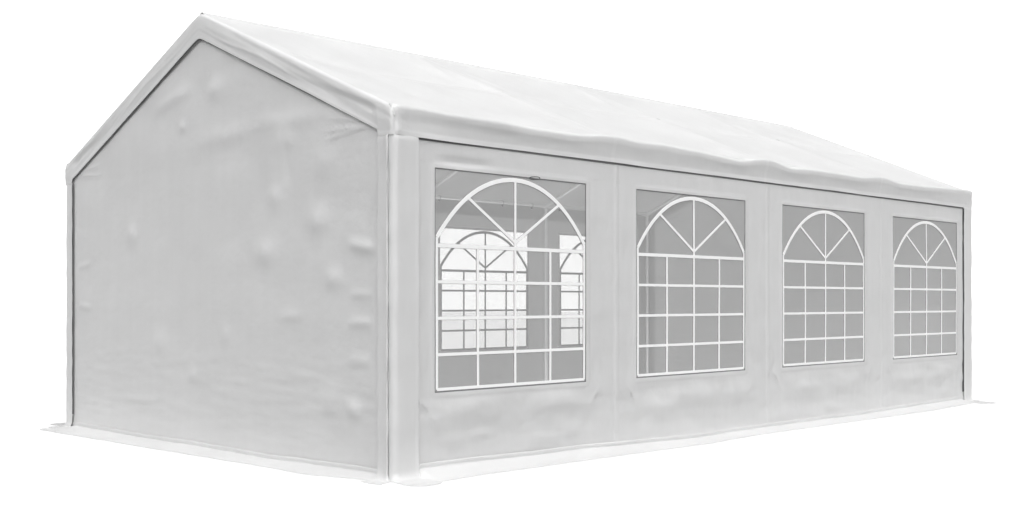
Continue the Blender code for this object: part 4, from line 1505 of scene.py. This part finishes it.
@kept("node_groups", "Elastic ties")
def tie_tree(name):
    """A closed elastic loop with a plastic ball at every point, drawn in the plane across the
    rail."""
    inputs = {
        "Places": ("Geometry", None), "Loop": ("Float", 0.026), "Cord": ("Float", 0.002),
        "Ball": ("Float", 0.012), "Material": ("Material", None)}
    tree, given, result = new_tree("GeometryNodeTree", name, inputs, {"Ties": "Geometry"})
    circles = []
    for count, size in ((24, "Loop"), (8, "Cord")):
        sizes = {"Resolution": count, "Radius": given[size]}
        circles.append(result_of(tree, "GeometryNodeCurvePrimitiveCircle", sizes))
    loop = {"Curve": circles[0], "Profile Curve": circles[1]}
    loop = result_of(tree, "GeometryNodeCurveToMesh", loop)
    ball = {"Segments": 16, "Rings": 10, "Radius": given["Ball"]}
    ball = result_of(tree, "GeometryNodeMeshUVSphere", ball)
    tie = joined(tree, loop, moved(tree, ball, combine(tree, y=times(tree, given["Loop"], -1.3))))
    return finish_tree(result, given["Places"], tie, (pi / 2, 0.0, pi / 2), given["Material"])


def marked_mesh(name, points, edges, marks):
    """Loose points and edges, with named values or directions on the points for the nodes."""
    mesh = bpy.data.meshes.new(name)
    mesh.from_pydata(points, edges, [])
    for key, (kind, field, values) in marks.items():
        mesh.attributes.new(key, kind, "POINT").data.foreach_set(field, np.ravel(values))
    return mesh


def line_mesh(name, lines):
    """Loose edges with the width and the rise of each strip, drawn flat for the nodes."""
    points, edges, widths, rises = [], [], [], []
    for line, width, rise in lines:
        first = len(points)
        points += [(x, z, 0.0) for x, z in line]
        edges += [(first + i, first + i + 1) for i in range(len(line) - 1)]
        widths += [width] * len(line)
        rises += [rise] * len(line)
    marks = {"width": ("FLOAT", "value", widths), "rise": ("FLOAT", "value", rises)}
    return marked_mesh(name, points, edges, marks)


def grown(name, mesh, tree, values):
    """A plain mesh object from a Geometry Nodes tree on a carrier mesh, with inputs given by
    name."""
    carrier = link_object(name + "_lines", mesh)
    modifier = carrier.modifiers.new("Nodes", "NODES")
    modifier.node_group = tree
    sockets = [item for item in tree.interface.items_tree if item.in_out == "INPUT"]
    keys = {item.name: item.identifier for item in sockets}
    for socket, value in values.items():
        modifier[keys[socket]] = value
    evaluated = carrier.evaluated_get(bpy.context.evaluated_depsgraph_get())
    made = bpy.data.meshes.new_from_object(evaluated)
    bpy.data.objects.remove(carrier)
    made.name = name
    return link_object(name, made)


def lay_on_wall(obj, side, sign, off):
    """Moves flat strips, drawn along the middle of the tent, out onto the films of a side."""
    places = np.zeros(len(obj.data.vertices) * 3, np.float32)
    obj.data.vertices.foreach_get("co", places)
    x, out, z = places.reshape(-1, 3).astype(float).T
    points = stand(side, x, WALL_FACE + off - out + wall_sway(side, sign * x, z), z)
    obj.data.vertices.foreach_set("co", points.astype(np.float32).ravel())
    obj.data.update()


class TENT_OT_window_bars(bpy.types.Operator):
    """Makes the glazing strips, their backs painted dark as shade, dark edge lines painted as shade
    round the films, and the loop on the first window
    """
    bl_idname = "tent.window_bars"
    bl_label = "Window bars"

    def execute(self, context):
        settings = context.scene.tent_window
        white = plain_material("Glazing strip", settings.bar_colour, 0.38)
        # Painted shade on the strips' backs, seen from inside against the light, and the loop's own
        # dark cord
        dark = plain_material("Strip back shade and loop cord", settings.back_shade_and_cord_colour, 0.6)
        # Painted shade along the windows' edges, where the films meet the wall
        black = plain_material("Window edge shade", settings.edge_shade_colour, 0.5)
        kinds = (
            ("bars", bar_lines(settings), white, -0.002),
            ("bar_shaded_backs", bar_lines(settings, 0.002), dark, -0.0066),
            ("edge_shade", edge_lines(), black, -0.0024))
        common = {
            "Windows": len(WINDOW_X), "First window": WINDOW_X[0], "Window pitch": WINDOW_PITCH,
            "Thickness": settings.bar_thickness}
        for side, sign in LONG_SIDES:
            for name, lines, material, off in kinds:
                values = {**common, "Material": material}
                obj = grown(f"{side}_window_{name}", line_mesh(name, lines), strip_tree(), values)
                lay_on_wall(obj, side, sign, off)
                obj.data.shade_flat()
                finish_piece(obj)
        values = {
            **common, "Windows": 1, "First window": 0.0, "Thickness": LOOP_THICKNESS,
            "Step": LOOP_STEP, "Material": dark}
        mesh = line_mesh("window_loop", loop_line())
        obj = grown("front_window_loop", mesh, strip_tree(), values)
        lay_on_wall(obj, "front", 1, 0.0)
        finish_piece(obj)
        return {"FINISHED"}


# Dark tapes under the valances and beside the strips: painted shadow lines in the gaps between the
# cloths

# Width of the tapes, how far they show beside a strip and go on under it, and where they end at the
# ground
TAPE_WIDTH = 0.04
TAPE_BESIDE = 0.008
TAPE_UNDER = 0.03
TAPE_FOOT = 0.12

# How far the tapes stand off a long wall, and how far inside the roof's end on a gable: level, then
# upright
TAPE_OFF = 0.0035
GABLE_TAPE_IN = 0.007
GABLE_STRIP_TAPE_IN = 0.009


@kept("materials", "Closing tape")
def painted_shadow_tape_material(name):
    """Dark pile on a tape that paints the shadow lines in the gaps under the valances and beside
    the strips.
    """
    material, tree, shader = new_material(name)
    pile = noise_node(tree, flat_cut(tree), 900.0, 2.0)
    feed(shader, {
        "Base Color": blend_colours(tree, pile, (0.10, 0.10, 0.103, 1.0), (0.24, 0.24, 0.245, 1.0)),
        "Roughness": map_range(tree, pile, 0.3, 0.7, 0.8, 0.95),
        "Normal": bump_node(tree, 0.8, 0.001, pile)})
    return material


def add_tape(name, side, along, out, z, width):
    """One dark tape over a grid of places, as a thin cloth."""
    points = stand(side, along, out, z)
    cut = pairs(run_length(points[:, 0])[:, None], np.linspace(0, width, points.shape[1])[None, :])
    sheet_piece(
        name, "closing_tape", None, points, cut, painted_shadow_tape_material(), held="stretched", rests_on=[])


def strip_edge_places(end, edge):
    """The two places along a side between which a strip's tape runs, in rising order."""
    return end * (edge + np.array([-TAPE_BESIDE, TAPE_UNDER]))[::end, None]


class TENT_OT_shadow_line_tapes(bpy.types.Operator):
    """Makes the dark tapes that paint the shadow lines in the gaps under the valances and beside
    the strips
    """
    bl_idname = "tent.closing_tapes"
    bl_label = "Shadow line tapes"

    def execute(self, context):
        shown = context.scene.tent_cloth.shadow_tape_shown
        side_end, gable_end = HALF_LENGTH - STRIP_ON_SIDE, HALF_WIDTH - STRIP_ON_GABLE
        hidden = TAPE_WIDTH - shown
        ends = ((-1, 1), (1, 2))
        for side, sign in LONG_SIDES:
            x = graded((-side_end, 0), (side_end, 0.05))[:, None]
            z = np.array([VALANCE_FOOT - shown, VALANCE_FOOT, VALANCE_FOOT + hidden])[None, :]
            out = wall_out(side, sign * x, z) + TAPE_OFF
            add_tape(f"{side}_closing_tape", side, x, np.maximum(out, out[:, :1]), z, TAPE_WIDTH)
            z = graded((TAPE_FOOT, 0), (VALANCE_FOOT - shown, 0.05))[None, :]
            for end, number in ends:
                x = strip_edge_places(end, side_end)
                out = wall_out(side, sign * x, z) + TAPE_OFF
                add_tape(f"{side}_strip_tape_{number}", side, x, out, z, VALANCE_FOOT)
        for side in ("left", "right"):
            y = both_ways(graded((0.0, 0), (gable_end, 0.04)))[:, None]
            z = gable_edge(y) + np.array([-0.35 * shown, 0.0, hidden])[None, :]
            add_tape(f"{side}_closing_tape", side, y, HALF_LENGTH - GABLE_TAPE_IN, z, TAPE_WIDTH)
            z = graded((TAPE_FOOT, 0), (VALANCE_FOOT + 0.01, 0.1))[None, :]
            for end, number in ends:
                y, out = strip_edge_places(end, gable_end), HALF_LENGTH - GABLE_STRIP_TAPE_IN
                add_tape(f"{side}_strip_tape_{number}", side, y, out, z, VALANCE_FOOT)
        return {"FINISHED"}


# The steel frame and its fittings

# The bolts: how far below a post's top they stand, and how far inside the eave rail's middle
BOLT_DROPS = (0.05, 0.11)
BOLT_INSET = 0.029

# The ties: half the run along the rail, how far clear of a post, and how far below the rail's
# middle
TIE_REACH = 3.75
TIE_CLEAR = 0.1
TIE_DROP = 0.001


@kept("materials", "Zinc-coated steel")
def steel_material(name):
    """Bright zinc with its flakes and faint clouds."""
    material, tree, shader = new_material(name)
    place = object_place(tree)
    flakes = result_of(tree, "ShaderNodeTexVoronoi", {"Vector": place, "Scale": 55.0})
    cloud = noise_node(tree, place, 5.0, 4.0)
    tone = calculate(tree, "ADD", times(tree, flakes, 0.5), times(tree, cloud, 0.7))
    feed(shader, {
        "Base Color": shaded(tree, tone, bpy.context.scene.tent_frame.steel_colour, 0.88, 1.12),
        "Roughness": map_range(tree, tone, 0.2, 0.8, 0.26, 0.4),
        "Normal": bump_node(tree, 0.25, 0.0004, flakes),
        "Metallic": 0.95})
    return material


class TENT_OT_frame_finish(bpy.types.Operator):
    """Gives the posts, rafters and rails their zinc-coated steel"""
    bl_idname = "tent.frame_finish"
    bl_label = "Frame finish"

    def execute(self, context):
        steel = steel_material()
        for name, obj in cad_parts.items():
            if any(part in name for part in ("post", "rafter", "rail")):
                for slot in obj.material_slots:
                    slot.material = steel
        return {"FINISHED"}


class TENT_OT_fittings(bpy.types.Operator):
    """Makes the bolts of the frame's sleeves and the elastic ties round the eave rails"""
    bl_idname = "tent.fittings"
    bl_label = "Bolts and ties"

    def execute(self, context):
        settings = context.scene.tent_frame
        bolts, ways = [], []
        for number, at_x in enumerate(POST_X, start=1):
            for side, sign in LONG_SIDES:
                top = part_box(f"{side}_post_{number}")[1].z
                bolts += [(at_x, sign * (BOLT_INSET - RAIL_Y), top - drop) for drop in BOLT_DROPS]
                ways += [(0.0, sign, 0.0)] * len(BOLT_DROPS)
        marks = {"direction": ("FLOAT_VECTOR", "vector", ways)}
        mesh = marked_mesh("Bolt places", bolts, [], marks)
        zinc = plain_material("Bolt zinc", settings.bolt_colour, 0.35, 0.6)
        values = {"Width": settings.bolt_width, "Material": zinc}
        obj = grown("frame_bolts", mesh, bolt_tree(), values)
        finish_piece(obj)
        rubber = plain_material("Elastic cord", settings.cord_colour, 0.55)
        steps = np.arange(-TIE_REACH, TIE_REACH + 0.01, settings.tie_pitch)
        places = [x for x in steps if min(abs(x - post) for post in POST_X) > TIE_CLEAR]
        for side, sign in LONG_SIDES:
            points = [(x, -sign * RAIL_Y, RAIL_Z - TIE_DROP) for x in places]
            mesh = marked_mesh("Tie places", points, [], {})
            values = {"Ball": settings.ball_size, "Material": rubber}
            obj = grown(f"{side}_elastic_ties", mesh, tie_tree(), values)
            finish_piece(obj)
        return {"FINISHED"}


# Panel and registration

OPERATORS = (
    TENT_OT_stage, TENT_OT_frame_finish, TENT_OT_roof, TENT_OT_gable_valances,
    TENT_OT_long_walls, TENT_OT_gable_walls, TENT_OT_corner_strips, TENT_OT_ground_flaps,
    TENT_OT_window_films, TENT_OT_window_bars, TENT_OT_shadow_line_tapes, TENT_OT_fittings)


class TENT_PT_tools(bpy.types.Panel):
    """Lists the tent's settings and the buttons that make its pieces"""
    bl_idname = "TENT_PT_tools"
    bl_label = "Tent"
    bl_space_type = "VIEW_3D"
    bl_region_type = "UI"
    bl_category = "Tent"

    def draw(self, context):
        for key, group in SETTINGS.items():
            box = self.layout.box()
            for field in group.__annotations__:
                box.prop(getattr(context.scene, key), field)
        for operator in OPERATORS:
            self.layout.operator(operator.bl_idname)


CLASSES = tuple(SETTINGS.values()) + OPERATORS + (TENT_PT_tools,)


def register():
    for item in CLASSES:
        bpy.utils.register_class(item)
    for key, group in SETTINGS.items():
        setattr(bpy.types.Scene, key, PointerProperty(type=group))


def unregister():
    for key in SETTINGS:
        delattr(bpy.types.Scene, key)
    for item in reversed(CLASSES):
        bpy.utils.unregister_class(item)


def main():
    """Makes every piece."""
    register()
    for operator in OPERATORS:
        group, action = operator.bl_idname.split(".")
        getattr(getattr(bpy.ops, group), action)()


if __name__ == "__main__":
    main()
